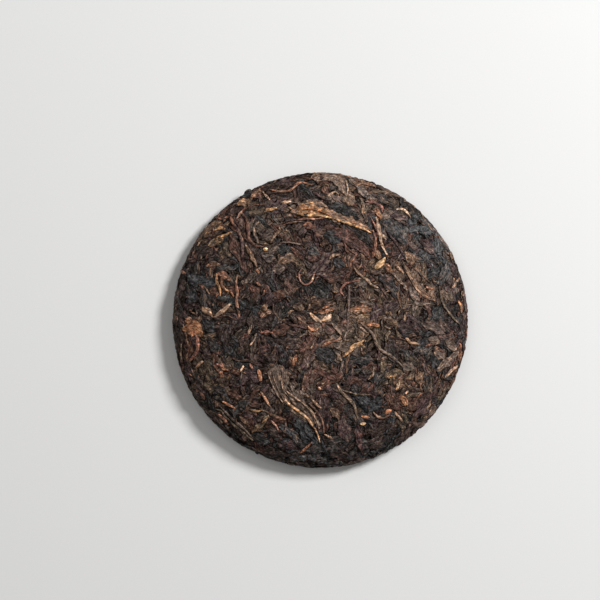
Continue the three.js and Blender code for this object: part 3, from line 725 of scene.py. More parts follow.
# %% The landmark stems
STEM_LANDMARKS = [
    ("gold", "pale_gold", (-16, 71.4, 1), (-10, 70.4, 2.2), (-3, 70.6, 2.6), (4, 69.6, 2.2), (9, 68, 1)),
    ("gold", "pale_tan", (8, 68.4, 1), (15, 66, 2), (22, 63.6, 2), (29, 60.8, 1.8), (34, 58.4, 1)),
    ("grey_brown", "tan", (-34.6, -36.6, 0.9), (-31.6, -44, 1.1), (-28.2, -50.4, 1.1), (-24.6, -55.4, 0.9)),
    ("grey_brown", "tan", (-32.4, -33, 0.8), (-30.4, -40, 1), (-28, -46, 1), (-25, -51.6, 0.9),
     (-21.4, -56.4, 0.8)),
    ("grey_brown", "tan", (-25, -33.6, 0.8), (-25.8, -40, 1), (-25, -45.6, 1), (-21.6, -50.4, 0.8)),
    ("orange", "gold", (-13, 74, 1), (-7, 74.4, 1.4), (-1, 73.4, 1.4), (4.4, 71, 1.4), (9, 68.6, 1)),
    ("red_stem", "tan", (-17, 66.8, 1), (-10, 68, 1.6), (-4, 67.8, 1.8), (0, 68.2, 2), (5, 70, 1.4)),
    ("mahogany", "brown", (-31, 61.5, 0.9), (-21, 65, 1.2), (-11, 66.4, 1.4)),
    ("rust", "tan", (-34, 88, 1.3), (-28, 86.8, 2), (-22, 87, 2.1), (-18, 89, 2.3), (-14.5, 92.3, 2.3),
     (-11, 92.5, 2), (-5.5, 91, 1.4)),
    ("pale_tan", "gold", (-27, 78.4, 1), (-23, 79, 2.3), (-19.5, 79.6, 1)),
    ("pale_tan", "tan", (-38.6, 86.4, 1.2), (-36, 83, 1.8), (-34, 80.6, 1)),
    ("pale_tan", "tan", (4.8, 83, 1.2), (7.4, 85.4, 1.9), (10, 86.2, 1.6), (12.4, 84.6, 0.9)),
    ("pale_tan", "tan", (17.2, 94, 1), (18.4, 90, 1.6), (18.2, 86, 1.4), (17.2, 83, 0.9)),
    ("rust", "red_stem", (35, 60.5, 1.4), (36.7, 54, 2), (36.2, 48, 2.2), (34.4, 42, 2.8)),
    ("mahogany", "red_stem", (33, 69.5, 1.2), (35.3, 66, 1.9), (37.6, 60, 2), (38.4, 54, 1.4)),
    ("tan", "pale_tan", (37, 69, 1.8), (38.2, 64, 2.8), (39.6, 58, 2.9), (40.7, 52, 2.3), (42.2, 47, 1.8),
     (44.6, 43.5, 1.2)),
    ("pale_tan", "tan", (40.8, 57.6, 1.4), (42.4, 55.8, 2.2), (44, 54, 1.4)),
    ("purple_brown", "charcoal", (43.5, 60.5, 1.6), (49, 54, 2.2), (53, 48, 2.2), (56.5, 41.5, 1.4)),
    ("red_stem", "mahogany", (30, 79.6, 1.2), (34, 79.6, 2.2), (38.2, 78.4, 2.6), (41, 75.8, 2.6),
     (41.4, 72.5, 1.4)),
    ("pale_tan", "tan", (50.8, 74.4, 1.2), (54, 74.9, 2), (57.6, 73.2, 2.1), (60.8, 69, 1.3)),
    ("red_stem", "pale_tan", (-12.8, 34.4, 1.2), (-14.3, 30.2, 1.8), (-13.3, 26.2, 1.9), (-10.5, 24.1, 1.9),
     (-7.4, 24.8, 1.9), (-5.3, 28, 1.5), (-4.3, 31, 1)),
    ("red_stem", "mahogany", (15.6, 16.4, 1.3), (13.2, 20.4, 1.9), (16, 24.3, 2), (20.6, 26, 1.8),
     (26, 26.6, 1.2)),
    ("tan", "olive_brown", (22.4, 34.8, 1.2), (26, 31, 2.1), (30, 27.4, 2.3), (34, 23.6, 2.6),
     (38.4, 21.8, 1.2)),
    ("purple_brown", "brown", (38, 24, 1.2), (42, 19.5, 2), (45, 15, 1.2)),
    ("grey_brown", "purple_brown", (18.9, 23.4, 2.4), (18.8, 15, 2.5), (18.6, 7, 2.4), (18.3, -1, 2.1),
     (17.6, -7, 1.4)),
    ("pale_tan", "gold", (-7, 5, 1.4), (-4, 2.2, 3), (-1.2, 0, 2.4), (0.6, -1.2, 1.2)),
    ("pale_tan", "gold", (0.2, 0, 1.6), (3, 0.6, 3.6), (5.6, 2.6, 4), (7, 4.4, 2)),
    ("orange", "pale_tan", (-8.4, -3.6, 1), (-6.6, -5.8, 1.7), (-4, -6.4, 1.8), (-1.2, -4.8, 1.5)),
    ("tan", "gold", (-8.6, 6.6, 1.2), (-7.6, 8.6, 2), (-7, 10.8, 1.4)),
    ("gold", "pale_tan", (15, -24, 1.2), (19, -20.6, 2), (23, -16.8, 3.2), (27, -14.8, 4),
     (29.6, -12.8, 2.4)),
    ("tan", "olive_brown", (10.5, -21.5, 2), (12.6, -24.4, 3.2), (14, -26.6, 1.6)),
    ("rust", "brown", (0.5, -17.4, 1.4), (4, -15.2, 2.4), (12, -12.6, 1.2)),
    ("grey_brown", "brown", (26.4, -1, 1.8), (31, -5.4, 2.1), (34.6, -9, 2.4), (37.6, -16, 2.7),
     (41.4, -20.4, 2.7), (47, -23.6, 2.4), (51, -27, 2.2), (54.4, -30.4, 1.4)),
    ("tan", "grey_brown", (26, -4.4, 1.2), (29, -6.6, 1.8), (32, -8.4, 1)),
    ("orange", "gold", (29.6, -3.6, 1.5), (34, -2.4, 3.2), (39.4, -3.6, 2)),
    ("tan", "olive_brown", (42.6, -3.6, 1.2), (46.6, -5.6, 1.6)),
    ("gold", "pale_tan", (-24, -51.6, 1.2), (-20.6, -56, 2), (-14.6, -60.4, 2.2), (-9, -65, 2.2),
     (-5, -70, 2), (-2, -76, 1.6), (-0.4, -81.6, 1)),
    ("tan", "olive_brown", (-23, -46.8, 1.4), (-18, -50.6, 1.8), (-12, -54.8, 1.6), (-6.4, -60, 1.8),
     (-3, -66, 1.6), (-1, -72, 1.2)),
    ("mahogany", "brown", (-8, -55, 1.3), (-3, -60, 2), (1, -67, 2), (2.4, -76, 1.3)),
    ("red_stem", "rust", (-83.4, -9.4, 2.6), (-82, -15, 2.7), (-82.6, -20.4, 2.9), (-86, -25, 2.6),
     (-88.6, -28.4, 1.4)),
    ("olive_brown", "tan", (-93.4, -15.6, 1), (-94, -22, 1.6), (-93, -28, 1.1)),
    ("tan", "pale_tan", (-71.4, 1.6, 1.8), (-68, 4.6, 3), (-64, 7.6, 3), (-59.8, 11.2, 1.5)),
    ("gold", "rust", (-69.6, 31.4, 1.4), (-69.2, 26, 2.2), (-67.4, 21, 2.4), (-67, 16.4, 1.5)),
    ("rust", "gold", (-65, 30.6, 1.5), (-66.3, 25.6, 2.4), (-64.6, 21.6, 2.4), (-60.8, 19.2, 1.7)),
    ("rust", "tan", (-55.2, 30.6, 1.4), (-56.4, 25, 2.4), (-55.6, 18, 2.7), (-56, 12, 2.4), (-54.6, 6, 2.3),
     (-54.4, 1.6, 1.7)),
    ("orange", "rust", (-59.8, 19, 1.4), (-57.8, 16, 1.8)),
    ("mahogany", "brown", (-53, 72.5, 2), (-49, 66, 3), (-48.2, 60, 3), (-47.6, 54, 2.4), (-43, 50.2, 2),
     (-37.6, 49.2, 1)),
    ("purple_brown", "brown", (-57, 64, 2), (-53.4, 56, 2.6), (-52, 48, 2.4), (-52.4, 41, 1.4)),
    ("grey_brown", "tan", (-41, 66, 2), (-44.4, 62, 3), (-43.4, 56, 2.6), (-41.6, 51.4, 1.4)),
    ("brown", "tan", (-50.2, 50.6, 1.5), (-47.6, 46, 2.7), (-45, 41.4, 2.7), (-42.4, 35.4, 1.4)),
    ("red_stem", "tan", (-57, 66.4, 1.2), (-55, 70.6, 1.9), (-50.2, 76, 1.4)),
    ("rust", "mahogany", (-60.4, 70, 1.8), (-59, 66, 2.3), (-56.8, 63.6, 1.2)),
    ("mahogany", "rust", (-71, 69.6, 1.8), (-65, 68.6, 2.6), (-60.4, 70, 1.5)),
    ("gold", "olive_brown", (-71, 60.4, 1.8), (-66.6, 62, 2.8), (-63.6, 61.4, 1.5)),
    ("gold", "olive_brown", (-69.6, 55.6, 1.5), (-64, 57, 2.4), (-58.8, 59.6, 1.4)),
    ("gold", "brown", (-37.8, 72.8, 1.6), (-34, 74.6, 2.5), (-29.2, 75.4, 1.5)),
    ("brown", "tan", (-33.4, 51.6, 1.4), (-30.6, 56.4, 2.4), (-26.2, 60.4, 1.4)),
    ("grey_brown", "purple_brown", (-27.4, 52.2, 1), (-20, 51.8, 1.5), (-11.6, 50.4, 1.1)),
    ("tan", "brown", (5.6, 41, 1.4), (8.6, 43.4, 2.5), (13.4, 44, 1.1)),
    ("tan", "orange", (50.6, 36.8, 1.4), (53, 34, 2), (55.4, 31.6, 1)),
    ("grey_brown", "tan", (48.6, 30.6, 1.4), (53, 26, 2.4), (57, 22, 2.4), (57.8, 17.6, 1)),
    ("rust", "orange", (70.4, 22.4, 1.8), (75, 21, 2.4)),
    ("olive_brown", "grey_brown", (79.6, 22, 1.4), (82, 12, 2.2), (87, 4, 2.2), (93.6, -2.6, 1.2)),
    ("tan", "pale_tan", (83.6, -38.4, 1.4), (88, -34, 2.5), (92.4, -30.6, 1.8)),
    ("orange", "gold", (92.8, 13.4, 1.4), (94.6, 9, 2.5), (94.6, 5, 1.4)),
    ("tan", "orange", (88.6, 21.6, 1.4), (91, 25, 2.5), (93.8, 28.6, 1.4)),
    ("tan", "gold", (56.6, -11.6, 1.4), (60, -14.4, 2.6), (65.4, -15.6, 1.4)),
    ("rust", "mahogany", (69.6, -17.2, 1.8), (74.6, -16.2, 2.6)),
    ("mahogany", "rust", (75.6, -20.6, 1.4), (79, -18.4, 2.1), (82.4, -21.6, 1.4)),
    ("gold", "pale_tan", (50.4, -46.4, 1.3), (52, -43, 2.5), (52.6, -40, 1.2)),
    ("tan", "orange", (56.6, -49.4, 1.5), (58.8, -47, 2.2)),
    ("tan", "red_stem", (35.2, -61, 1), (38, -64, 1.7), (42, -64.9, 1.7), (46.4, -63, 1.2)),
    ("orange", "rust", (42.8, -62.2, 1.6), (45.4, -60.8, 2.9), (48, -59.8, 1.4)),
    ("tan", "brown", (49.6, -61, 1.2), (53, -65, 1.9), (55.4, -68.4, 1)),
    ("orange", "rust", (27.2, -64, 1.4), (30, -64.4, 2.4), (33, -64.8, 1.4)),
    ("olive_brown", "tan", (10.6, -41.6, 1.8), (14, -47.6, 2.2), (19, -52, 2.5), (22.6, -57, 2.7),
     (24.2, -62, 2.2), (25, -65.6, 1)),
    ("olive_brown", "grey_brown", (13, -45.6, 1), (18, -47.6, 1.6), (25, -49, 1.6), (34, -49.6, 1.1)),
    ("tan", "olive_brown", (31.6, -39.4, 1), (34.4, -36.6, 1.7), (35.2, -30.4, 1.2)),
    ("tan", "orange", (-5.6, -52.6, 1.4), (-3, -55.4, 2.5), (0.4, -58.4, 1.2)),
    ("tan", "brown", (2.4, -76.2, 1), (5, -77.6, 1.9), (8.6, -79, 1.3)),
    ("rust", "orange", (-13.4, -89, 1.4), (-9, -85, 2.3), (-5.6, -81.6, 1.9)),
    ("orange", "brown", (-16, -22.6, 1.5), (-17.4, -26, 3), (-18.2, -29.6, 1.6)),
    ("tan", "orange", (-48.2, -9.4, 1.4), (-47, -6, 2.1), (-45.8, -3, 1.3)),
    ("grey_brown", "tan", (-42.6, -8.4, 1.4), (-44.4, -13, 2.2), (-47, -16.6, 1.2)),
    ("red_stem", "rust", (-40.4, -8.2, 1.1), (-36, -7.4, 1.7), (-31.6, -7.6, 1.4)),
    ("tan", "orange", (-83.6, -31.6, 1.4), (-81, -29.4, 2.4), (-78.6, -27, 1.5)),
    ("red_stem", "orange", (-70.6, -28.6, 1.1), (-67, -30, 1.9), (-64.2, -31.4, 1.3)),
    ("orange", "gold", (-66, -32.2, 1.2), (-61.6, -33.2, 1.6)),
    ("orange", "brown", (-41.6, -32.6, 2), (-40.8, -36, 3.4), (-39.8, -40.4, 1.6)),
    ("tan", "pale_tan", (-53.6, -34, 1.3), (-51.2, -30, 1.5)),
    ("grey_brown", "sheen_slate", (-53.6, -42, 1.4), (-52.8, -37, 1.7), (-52.6, -33, 1.1)),
    ("red_stem", "orange", (-47.4, -28.6, 1.3), (-45, -32.8, 1.8)),
    ("orange", "pale_tan", (-40, -47.4, 1.5), (-37.4, -51, 2.2), (-35, -55, 1.9), (-33.2, -57.6, 1)),
    ("orange", "rust", (-65.6, -54.2, 1.1), (-62, -56, 1.9), (-57, -58.8, 1.2)),
    ("olive_brown", "grey_brown", (-71, -59.6, 1.4), (-67, -61, 2.1), (-63, -66, 2.2), (-58, -70.4, 2.3),
     (-52, -75, 2.3), (-45, -80.6, 1.4)),
    ("grey_brown", "olive_brown", (-68, -57, 1.4), (-63, -62.4, 2), (-57, -68, 2), (-50.4, -73.4, 1.8),
     (-45.4, -79, 1)),
    ("rust", "brown", (-69, -62.6, 1.6), (-65, -66.4, 2.8), (-62, -70.6, 1.4)),
    ("red_stem", "tan", (-33.4, -66.6, 1.4), (-30, -70, 2), (-28, -73.4, 1)),
    ("gold", "olive_brown", (-47.4, -59.4, 1), (-42, -60.6, 1.8), (-39, -60, 0.9)),
    ("olive_brown", "rust", (-41, -58.6, 1.4), (-34, -62, 2), (-27, -65.6, 2), (-22.6, -66.4, 1.6)),
    ("rust", "brown", (-94, 33.4, 1.6), (-90.4, 31.2, 2.8)),
    ("rust", "orange", (-42.6, 34.4, 1.4), (-41, 31.4, 2.6)),
    ("rust", "orange", (-42.6, 25.4, 1.4), (-39.8, 23, 2.2)),
    ("olive_brown", "brown", (56, 80.6, 1.6), (62, 78.4, 2.8), (66, 75, 2.5), (70.6, 69.4, 1.2)),
]
print("landmark stems:", len(STEM_LANDMARKS))

# %% [markdown]
# A few golden buds, plump and smooth, lie on top of everything. The nub is a hard knot at the upper left
# edge, which stands out further than pressing lets a leaf stand.

# %% The buds and the nub
NUB_LANDMARKS = [("charcoal", "dark_brown", (-51, 85.6, 2.4), (-49.2, 87.2, 2.8), (-47, 88.8, 2.6))]
BUD_LANDMARKS = [
    ("pale_gold", "gold", (36, 34.6, 2.4), (38.4, 36.6, 4.4), (41, 39, 4), (43.2, 42, 1.6)),
    ("pale_gold", "gold", (-38.2, 47.6, 1.8), (-36.6, 47.4, 2.8), (-35, 47.2, 1.8)),
    ("pale_gold", "gold", (-38, 51.2, 1.2), (-36, 51.4, 1.6)),
    ("pale_gold", "pale_tan", (26.4, -69, 1.6), (28.4, -69, 2.6), (30.4, -68.8, 1.6)),
    ("pale_gold", "pale_tan", (-9.2, -29, 1), (-8.2, -29, 1)),
    ("orange", "pale_tan", (-1.4, -44.4, 1.6), (0.2, -46, 2)),
]
print("buds:", len(BUD_LANDMARKS), "and one nub")

# %% [markdown]
# A smooth curve through the places of a row gives the course of its leaf. The places are as a camera far
# above would see them, so towards the rim, where the skin falls away, they are moved out along it.

# %% Laying the landmarks
SEEN_RADIUS = 100
OUTLINE_RADIUS = RADIUS + 0.3  # the skin's edge and what stands out of it on average
BLUNT_TIP = 0.02
BLUNTNESS = 0.25


def course_through(places, steps):
    """Stations on a smooth course: a cubic between each two places, with the slopes of the nearby chords."""
    places = np.array(places, float)
    walked = np.concatenate([[0], np.cumsum(np.hypot(*np.diff(places[:, :2], axis=0).T))])
    slope = np.gradient(places, walked, axis=0)
    at = np.linspace(0, walked[-1], steps + 1)
    k = np.searchsorted(walked, at, "right").clip(1, len(places) - 1) - 1
    gap = (walked[k + 1] - walked[k])[:, None]
    u = (at - walked[k])[:, None] / gap
    near = places[k] * (1 + 2 * u) * (1 - u) ** 2 + slope[k] * gap * u * (1 - u) ** 2
    far = places[k + 1] * (3 - 2 * u) * u**2 + slope[k + 1] * gap * (u - 1) * u**2
    return near + far


def landmarks(kind, rows, steps, across, evenness, **shape):
    """One layer of leaves from rows of colour, colour of the streaks, and places with widths.

    The places are measured so that the cake's edge is SEEN_RADIUS away from its middle. Evenness draws the
    widths towards the widest one, as in a stem that is as thick at its broken ends.
    """
    course = np.stack([course_through(row[2:], steps) for row in rows])
    seen_x, seen_y, wide = np.moveaxis(course, -1, 0) * (OUTLINE_RADIUS / SEEN_RADIUS)
    seen = np.hypot(seen_x, seen_y)
    before_rim = SKIN_S <= RIM_S
    outwards = np.interp(seen, SKIN_R[before_rim], SKIN_S[before_rim]) / seen
    wide = wide + evenness * (wide.max(1, keepdims=True) - wide)
    blunt = np.sin(np.pi * np.linspace(0, 1, steps + 1).clip(BLUNT_TIP, 1 - BLUNT_TIP)) ** BLUNTNESS
    tint, vein = (np.array([COLOURS[row[k]] for row in rows]) for k in (0, 1))
    leaf = traits(tint, vein, **shape)
    lay(kind, FRONT, seen_x * outwards, seen_y * outwards, wide * blunt, leaf, across)


OPEN = leaf_shape((0.6, 0.8), (6, 10), (0.4, 0.6), (2, 4), dive=0.1, lean=0.2, drape=0.8, ragged=0.18)
STEM = leaf_shape((1.0, 1.2), (2, 3), (0, 0.2), (0.5, 1.5), dive=0.1, lean=0.1, ragged=0.2, crumple=0.06)
NUB = leaf_shape((3.2, 3.4), (2, 3), (0, 0.1), (0.5, 1), dive=0.0, lean=0.0, crumple=0.06, reach=3.4)
BUD = leaf_shape((1.0, 1.2), (2, 2.2), (0, 0.1), (0.5, 1), dive=0.0, lean=0.0, ragged=0.06, crumple=0.04)
CRUMB_LAYERS = [("leaf_flakes", FLAKE, CRUMB_MIX, 160, 0, (1.5, 4.5), (0.8, 1.8), 5, 4)]
landmarks("landmark_leaves", OPEN_LANDMARKS, steps=32, across=12, evenness=0.1, **OPEN)
landmarks("landmark_stems", STEM_LANDMARKS, steps=26, across=6, evenness=0.5, **STEM)
landmarks("landmark_stems", NUB_LANDMARKS, steps=12, across=8, evenness=0.1, **NUB)
scatter_layers(FRONT, FRONT_OUT, CRUMB_LAYERS)
landmarks("buds", BUD_LANDMARKS, steps=14, across=9, evenness=0.1, **BUD)
print("with landmarks:", len(layers), "layers on the front")

# %% [markdown]
# The back is laid in the same way, in coarser grids and with fewer leaves. Broad ones keep clear of the
# dent, so that they don't bridge it.

# %% The leaves of the back
SHORT_OF_RIM = 2
BACK_OUT = SKIN_LENGTH - RIM_S - SHORT_OF_RIM
BACK_LAYERS = [
    ("broad_brown_leaves", BROAD, BROWN_MIX, 130, 6, (16, 30), (9, 14), 10, 7),
    ("brown_leaves", ROLLED, BROWN_MIX, 190, 12, (12, 28), (3.4, 6.5), 12, 7),
    ("broad_dark_leaves", BROAD, DARK_MIX, 120, 20, (13, 28), (7, 13), 14, 9),
    ("dark_leaves", ROLLED, DARK_MIX, 190, 14, (12, 30), (3.4, 6.5), 12, 7),
    ("broad_brown_leaves", BROAD, BROWN_MIX, 90, 20, (12, 26), (6, 11), 14, 9),
    ("thin_stems", THIN, BROWN_MIX, 130, 4, (8, 24), (1.2, 2.2), 14, 5),
    ("leaf_flakes", FLAKE, CRUMB_MIX, 400, 2, (3, 9), (1.4, 4), 5, 4),
    ("leaf_flakes", FLAKE, FLECK_MIX, 100, 2, (2, 7), (0.9, 2.4), 5, 4),
]
scatter_layers(BACK, BACK_OUT, BACK_LAYERS)
print("layers:", len(layers), "leaves:", sum(len(layer["tint"]) for layer in layers))

# %% [markdown]
# The stone presses the pile level. A simulation could squeeze it, but a blurred copy of the pile's map says
# how much stuff lies at each place, and taking that off every lift levels the face and keeps the small
# relief. What still stands out or gapes is then drawn in softly, so that nothing leaves the cake's own
# size.

# %% Pressing the pile
PRESS_BLUR = 2.3
PRESSED_SHARE = 0.92
REACH_SHARE = 0.97
DEEPEST = 0.7
FACE_REACH = 90  # how far from the middle the printed average is taken


def pressing(side):
    """The pile's map, blurred by a Gaussian in frequency space."""
    frequency = np.fft.fftfreq(CELLS, CELL)
    fx, fy = np.meshgrid(frequency, frequency, indexing="ij")
    kept = np.exp(-2 * (np.pi * PRESS_BLUR) ** 2 * (fx**2 + fy**2))
    return np.fft.ifft2(np.fft.fft2(pile[side]) * kept).real * PRESSED_SHARE


def settle(lift, reach):
    """Lifts drawn in by a hyperbolic tangent, to just under the leaf's reach or to the deepest gap."""
    limit = np.where(lift > 0, REACH_SHARE * reach, DEEPEST)
    return limit * np.tanh(lift / limit)


press = {side: pressing(side) for side in (FRONT, BACK)}
map_x, map_y = np.meshgrid(*[np.linspace(-CHART_REACH, CHART_REACH, CELLS)] * 2)
mean_press = press[FRONT][np.hypot(map_x, map_y) < FACE_REACH].mean()
print(f"pressing takes {mean_press:.2f} mm off the face on average")

# %% [markdown]
# Each kind of leaf becomes one mesh. The ribbons' grids are flattened into one long list of points, and
# their faces come from a pattern of numbers that is repeated with an offset for each leaf. Two values ride
# on every point for the shader: its tint, and its place along and across its own leaf, for the grain.

# %% Meshes from the layers


def ribbon_faces(stations, ring):
    """Triangles of one closed ribbon: a band of quads between each two rings, and a fan over each end."""
    i = np.arange(stations - 1)[:, None]
    k = np.arange(ring)[None, :]
    a = i * ring + k
    b = i * ring + (k + 1) % ring
    c = a + ring
    d = b + ring
    band = np.stack([np.stack([a, c, d], -1), np.stack([a, d, b], -1)], -2).reshape(-1, 3)
    fan = np.arange(1, ring - 1)
    first = np.stack([0 * fan, fan, fan + 1], -1)
    last = np.stack([0 * fan, fan + 1, fan], -1) + (stations - 1) * ring
    return np.concatenate([band, first, last])


def build_mesh(name, points, faces, tint, grain):
    """A mesh object in metres from whole arrays, smooth, with its two values on each point."""
    mesh = bpy.data.meshes.new(name)
    mesh.vertices.add(len(points))
    mesh.vertices.foreach_set("co", (points * MM).astype(np.float32).ravel())
    mesh.loops.add(faces.size)
    mesh.loops.foreach_set("vertex_index", faces.astype(np.int32).ravel())
    mesh.polygons.add(len(faces))
    mesh.polygons.foreach_set("loop_start", np.arange(0, faces.size, 3, dtype=np.int32))
    mesh.update(calc_edges=True)
    mesh.shade_smooth()
    for title, values in (("tint", tint), ("grain", grain)):
        made = mesh.attributes.new(title, "FLOAT_VECTOR", "POINT")
        made.data.foreach_set("vector", values.astype(np.float32).ravel())
    piece = bpy.data.objects.new(name, mesh)
    bpy.context.scene.collection.objects.link(piece)
    return piece

# %% [markdown]
# The shader needs to know more than the leaf's own colour. Deep places between leaves get painted shade and
# raised backs are painted paler, streaks run along a leaf, and its edges get painted shade. These are worked
# out once for every point, and multiplied into its tint.

# %% Painted shade by depth, streaks, and painted shade at the edges
# painted shade along each leaf's edges, as dark as the gaps beside them
PAINTED_EDGE_SHADE = 0.97
# painted shade and light by depth: the deeper a point lies the darker it is painted, the higher the paler
DEPTH_SHADING = 0.65
DEPTH_SHADING_LIMITS = (0.25, 1.5)
MOTTLING = 0.3
VEIN_SHARE = 0.8
VEIN_CLOSENESS = (1.3, 1.6)
VEIN_EDGE = 1.2


def kind_arrays(layer):
    """Points, faces, tint and grain of one layer after pressing.

    What stands out is painted lighter and what lies deep is painted darker, as painted shade, by e to the
    power of the lift. The leaf's own tint gives way to the colour of its streaks where the noise of its
    wrinkles is high, and its edges get painted shade, dark as the gaps beside them.
    """
    i, j = cells(layer["x"], layer["y"])
    lift = settle(layer["lift"] - press[layer["side"]][i, j], layer["reach"])
    points = place(layer["side"], layer["x"], layer["y"], lift)
    count, stations, ring = lift.shape
    faces = ribbon_faces(stations, ring)
    if layer["side"] == BACK:
        faces = faces[:, ::-1]
    faces = (faces[None] + (np.arange(count) * stations * ring)[:, None, None]).reshape(-1, 3)
    # painted shade in the gaps and painted light on raised backs, from the depth of each point
    depth_shade = np.exp(DEPTH_SHADING * lift).clip(*DEPTH_SHADING_LIMITS)[..., None]
    mottled = np.exp(MOTTLING * read_tile(CRUMB, layer["x"], layer["y"]))[..., None]
    along = VEIN_CLOSENESS[0] * layer["grain"][..., 0]
    across = VEIN_CLOSENESS[1] * layer["grain"][..., 1]
    veined = VEIN_SHARE * smoothstep(read_tile(WRINKLE, along, across), 0, VEIN_EDGE)[..., None]
    tint = layer["tint"][:, None, None, :] * (1 - veined) + layer["vein"][:, None, None, :] * veined
    # the painted edge shade is multiplied in here
    tint = tint * depth_shade * mottled * (1 - PAINTED_EDGE_SHADE * layer["edge"][:, None])
    return points.reshape(-1, 3), faces, tint.reshape(-1, 3), layer["grain"].reshape(-1, 3)

# %% One mesh for each kind


def build_kind(kind):
    """All the layers of one kind as one mesh object."""
    parts = [kind_arrays(layer) for layer in layers if layer["kind"] == kind]
    starts = np.cumsum([0] + [len(part[0]) for part in parts])
    faces = np.concatenate([part[1] + start for part, start in zip(parts, starts)])
    points, tint, grain = (np.concatenate([part[k] for part in parts]) for k in (0, 2, 3))
    print(f"{kind}: {len(faces)} triangles")
    return build_mesh(kind, points, faces, tint, grain)


KINDS = sorted({layer["kind"] for layer in layers})
leaf_pieces = {kind: build_kind(kind) for kind in KINDS}

# %% [markdown]
# Under the leaves is the pressed mass, a solid of crushed leaf and dust that shows in the gaps, coloured
# darker still as painted shade in those gaps. It is the skin turned round the cake's middle, sunk to just
# above the deepest gaps, and made crumbly by noise.

# %% The pressed mass
MASS_TURNS = 330
MASS_RINGS = 130
MASS_SINK = 0.68
MASS_ROUGHNESS = 0.12
MASS_SHADE = 0.8
MASS_MOTTLING = 0.25
MASS_SHADE_LIMITS = (0.3, 1.5)
# how far the mass's colour is darkened: partly its own dark crumbs, partly painted shade in the gaps
MASS_GAP_SHADE = 0.4


def pressed_mass():
    """Rings of points round the axis at even steps of the skin, sunk and roughened, and both poles."""
    s = np.linspace(0, SKIN_LENGTH, MASS_RINGS + 2)[1:-1, None]
    angle = np.linspace(0, 2 * np.pi, MASS_TURNS, endpoint=False)[None, :]
    x = s * np.cos(angle)
    y = s * np.sin(angle)
    rough = read_tile(CRUMPLE, x, y)
    rings = place(FRONT, x, y, MASS_ROUGHNESS * rough - MASS_SINK)
    poles = place(FRONT, np.array([0.0, SKIN_LENGTH]), np.zeros(2), np.full(2, -MASS_SINK))
    points = np.concatenate([rings.reshape(-1, 3), poles])
    k = np.arange(MASS_TURNS)
    after = (k + 1) % MASS_TURNS
    row = np.arange(MASS_RINGS - 1)[:, None] * MASS_TURNS
    a, b, c, d = row + k, row + after, row + MASS_TURNS + k, row + MASS_TURNS + after
    band = np.stack([np.stack([a, c, d], -1), np.stack([a, d, b], -1)], -2).reshape(-1, 3)
    front_pole = MASS_RINGS * MASS_TURNS
    last = (MASS_RINGS - 1) * MASS_TURNS
    front_cap = np.stack([np.full(MASS_TURNS, front_pole), k, after], -1)
    back_cap = np.stack([np.full(MASS_TURNS, front_pole + 1), last + after, last + k], -1)
    faces = np.concatenate([band, front_cap, back_cap])
    shade = np.concatenate([(MASS_SHADE + MASS_MOTTLING * rough).reshape(-1), [MASS_SHADE, MASS_SHADE]])
    # painted shade: the mass's dark brown is taken down further, so the gaps read as shadowed
    tint = COLOURS["dark_brown"] * MASS_GAP_SHADE * shade.clip(*MASS_SHADE_LIMITS)[:, None]
    return build_mesh("pressed_mass", points, faces, tint, points)


mass = pressed_mass()
print("pressed_mass:", len(mass.data.polygons), "triangles")

# %% [markdown]
# A finish is a graph of shader nodes. A few helpers make a node, set its inputs or join them to other nodes,
# and give back its result, so that a finish reads like arithmetic.

# %% Helpers for the finishes


def set_input(material, slot, value):
    """An input set to a value, or joined to another node's output."""
    if isinstance(value, bpy.types.NodeSocket):
        material.node_tree.links.new(value, slot)
    else:
        slot.default_value = value


def add_node(material, kind, settings=None, **values):
    """A new node with its settings, and its inputs set or joined by title."""
    made = material.node_tree.nodes.new(kind)
    for title, value in (settings or {}).items():
        setattr(made, title, value)
    for title, value in values.items():
        set_input(material, made.inputs[title.replace("_", " ")], value)
    return made


def combined(material, operation, *values, kind="ShaderNodeMath"):
    """The result of a math node, whose inputs share one title and are set or joined in order."""
    made = add_node(material, kind, {"operation": operation})
    for slot, value in zip(made.inputs, values):
        set_input(material, slot, value)
    return made.outputs[0]


def mapped(material, value, low, high, to_low, to_high):
    """A value moved from the range low to high to another range, and held within it."""
    limits = {"From_Min": low, "From_Max": high, "To_Min": to_low, "To_Max": to_high}
    return add_node(material, "ShaderNodeMapRange", Value=value, **limits).outputs["Result"]

# %% [markdown]
# A dry leaf is creased and streaked along its length, and gritty between the creases. The noise that makes
# this reads each leaf's own grain, in millimetres along and across it, bent a little so that no streak is
# straight. A crumple that reads the object's own coordinates, in metres, lies over all the leaves alike.

# %% The relief of a leaf
GRAIN_BEND = (2.4, 2.4, 0)
GRAIN_BEND_SCALE = 260.0
STREAK_SCALE = (0.13, 0.62, 1)
GRIT_SCALE = (0.5, 1.6, 1)
CRUMPLE_SCALE = 430.0
CRUMPLE_SHARE = 1.1


def creases(material, vector, scale):
    """Noise folded at its middle value, |noise - 0.5|: round backs with sharp valleys between them."""
    noise = add_node(material, "ShaderNodeTexNoise", Vector=vector, Scale=scale, Detail=4.0, Roughness=0.6)
    return combined(material, "ABSOLUTE", combined(material, "SUBTRACT", noise.outputs["Fac"], 0.5))


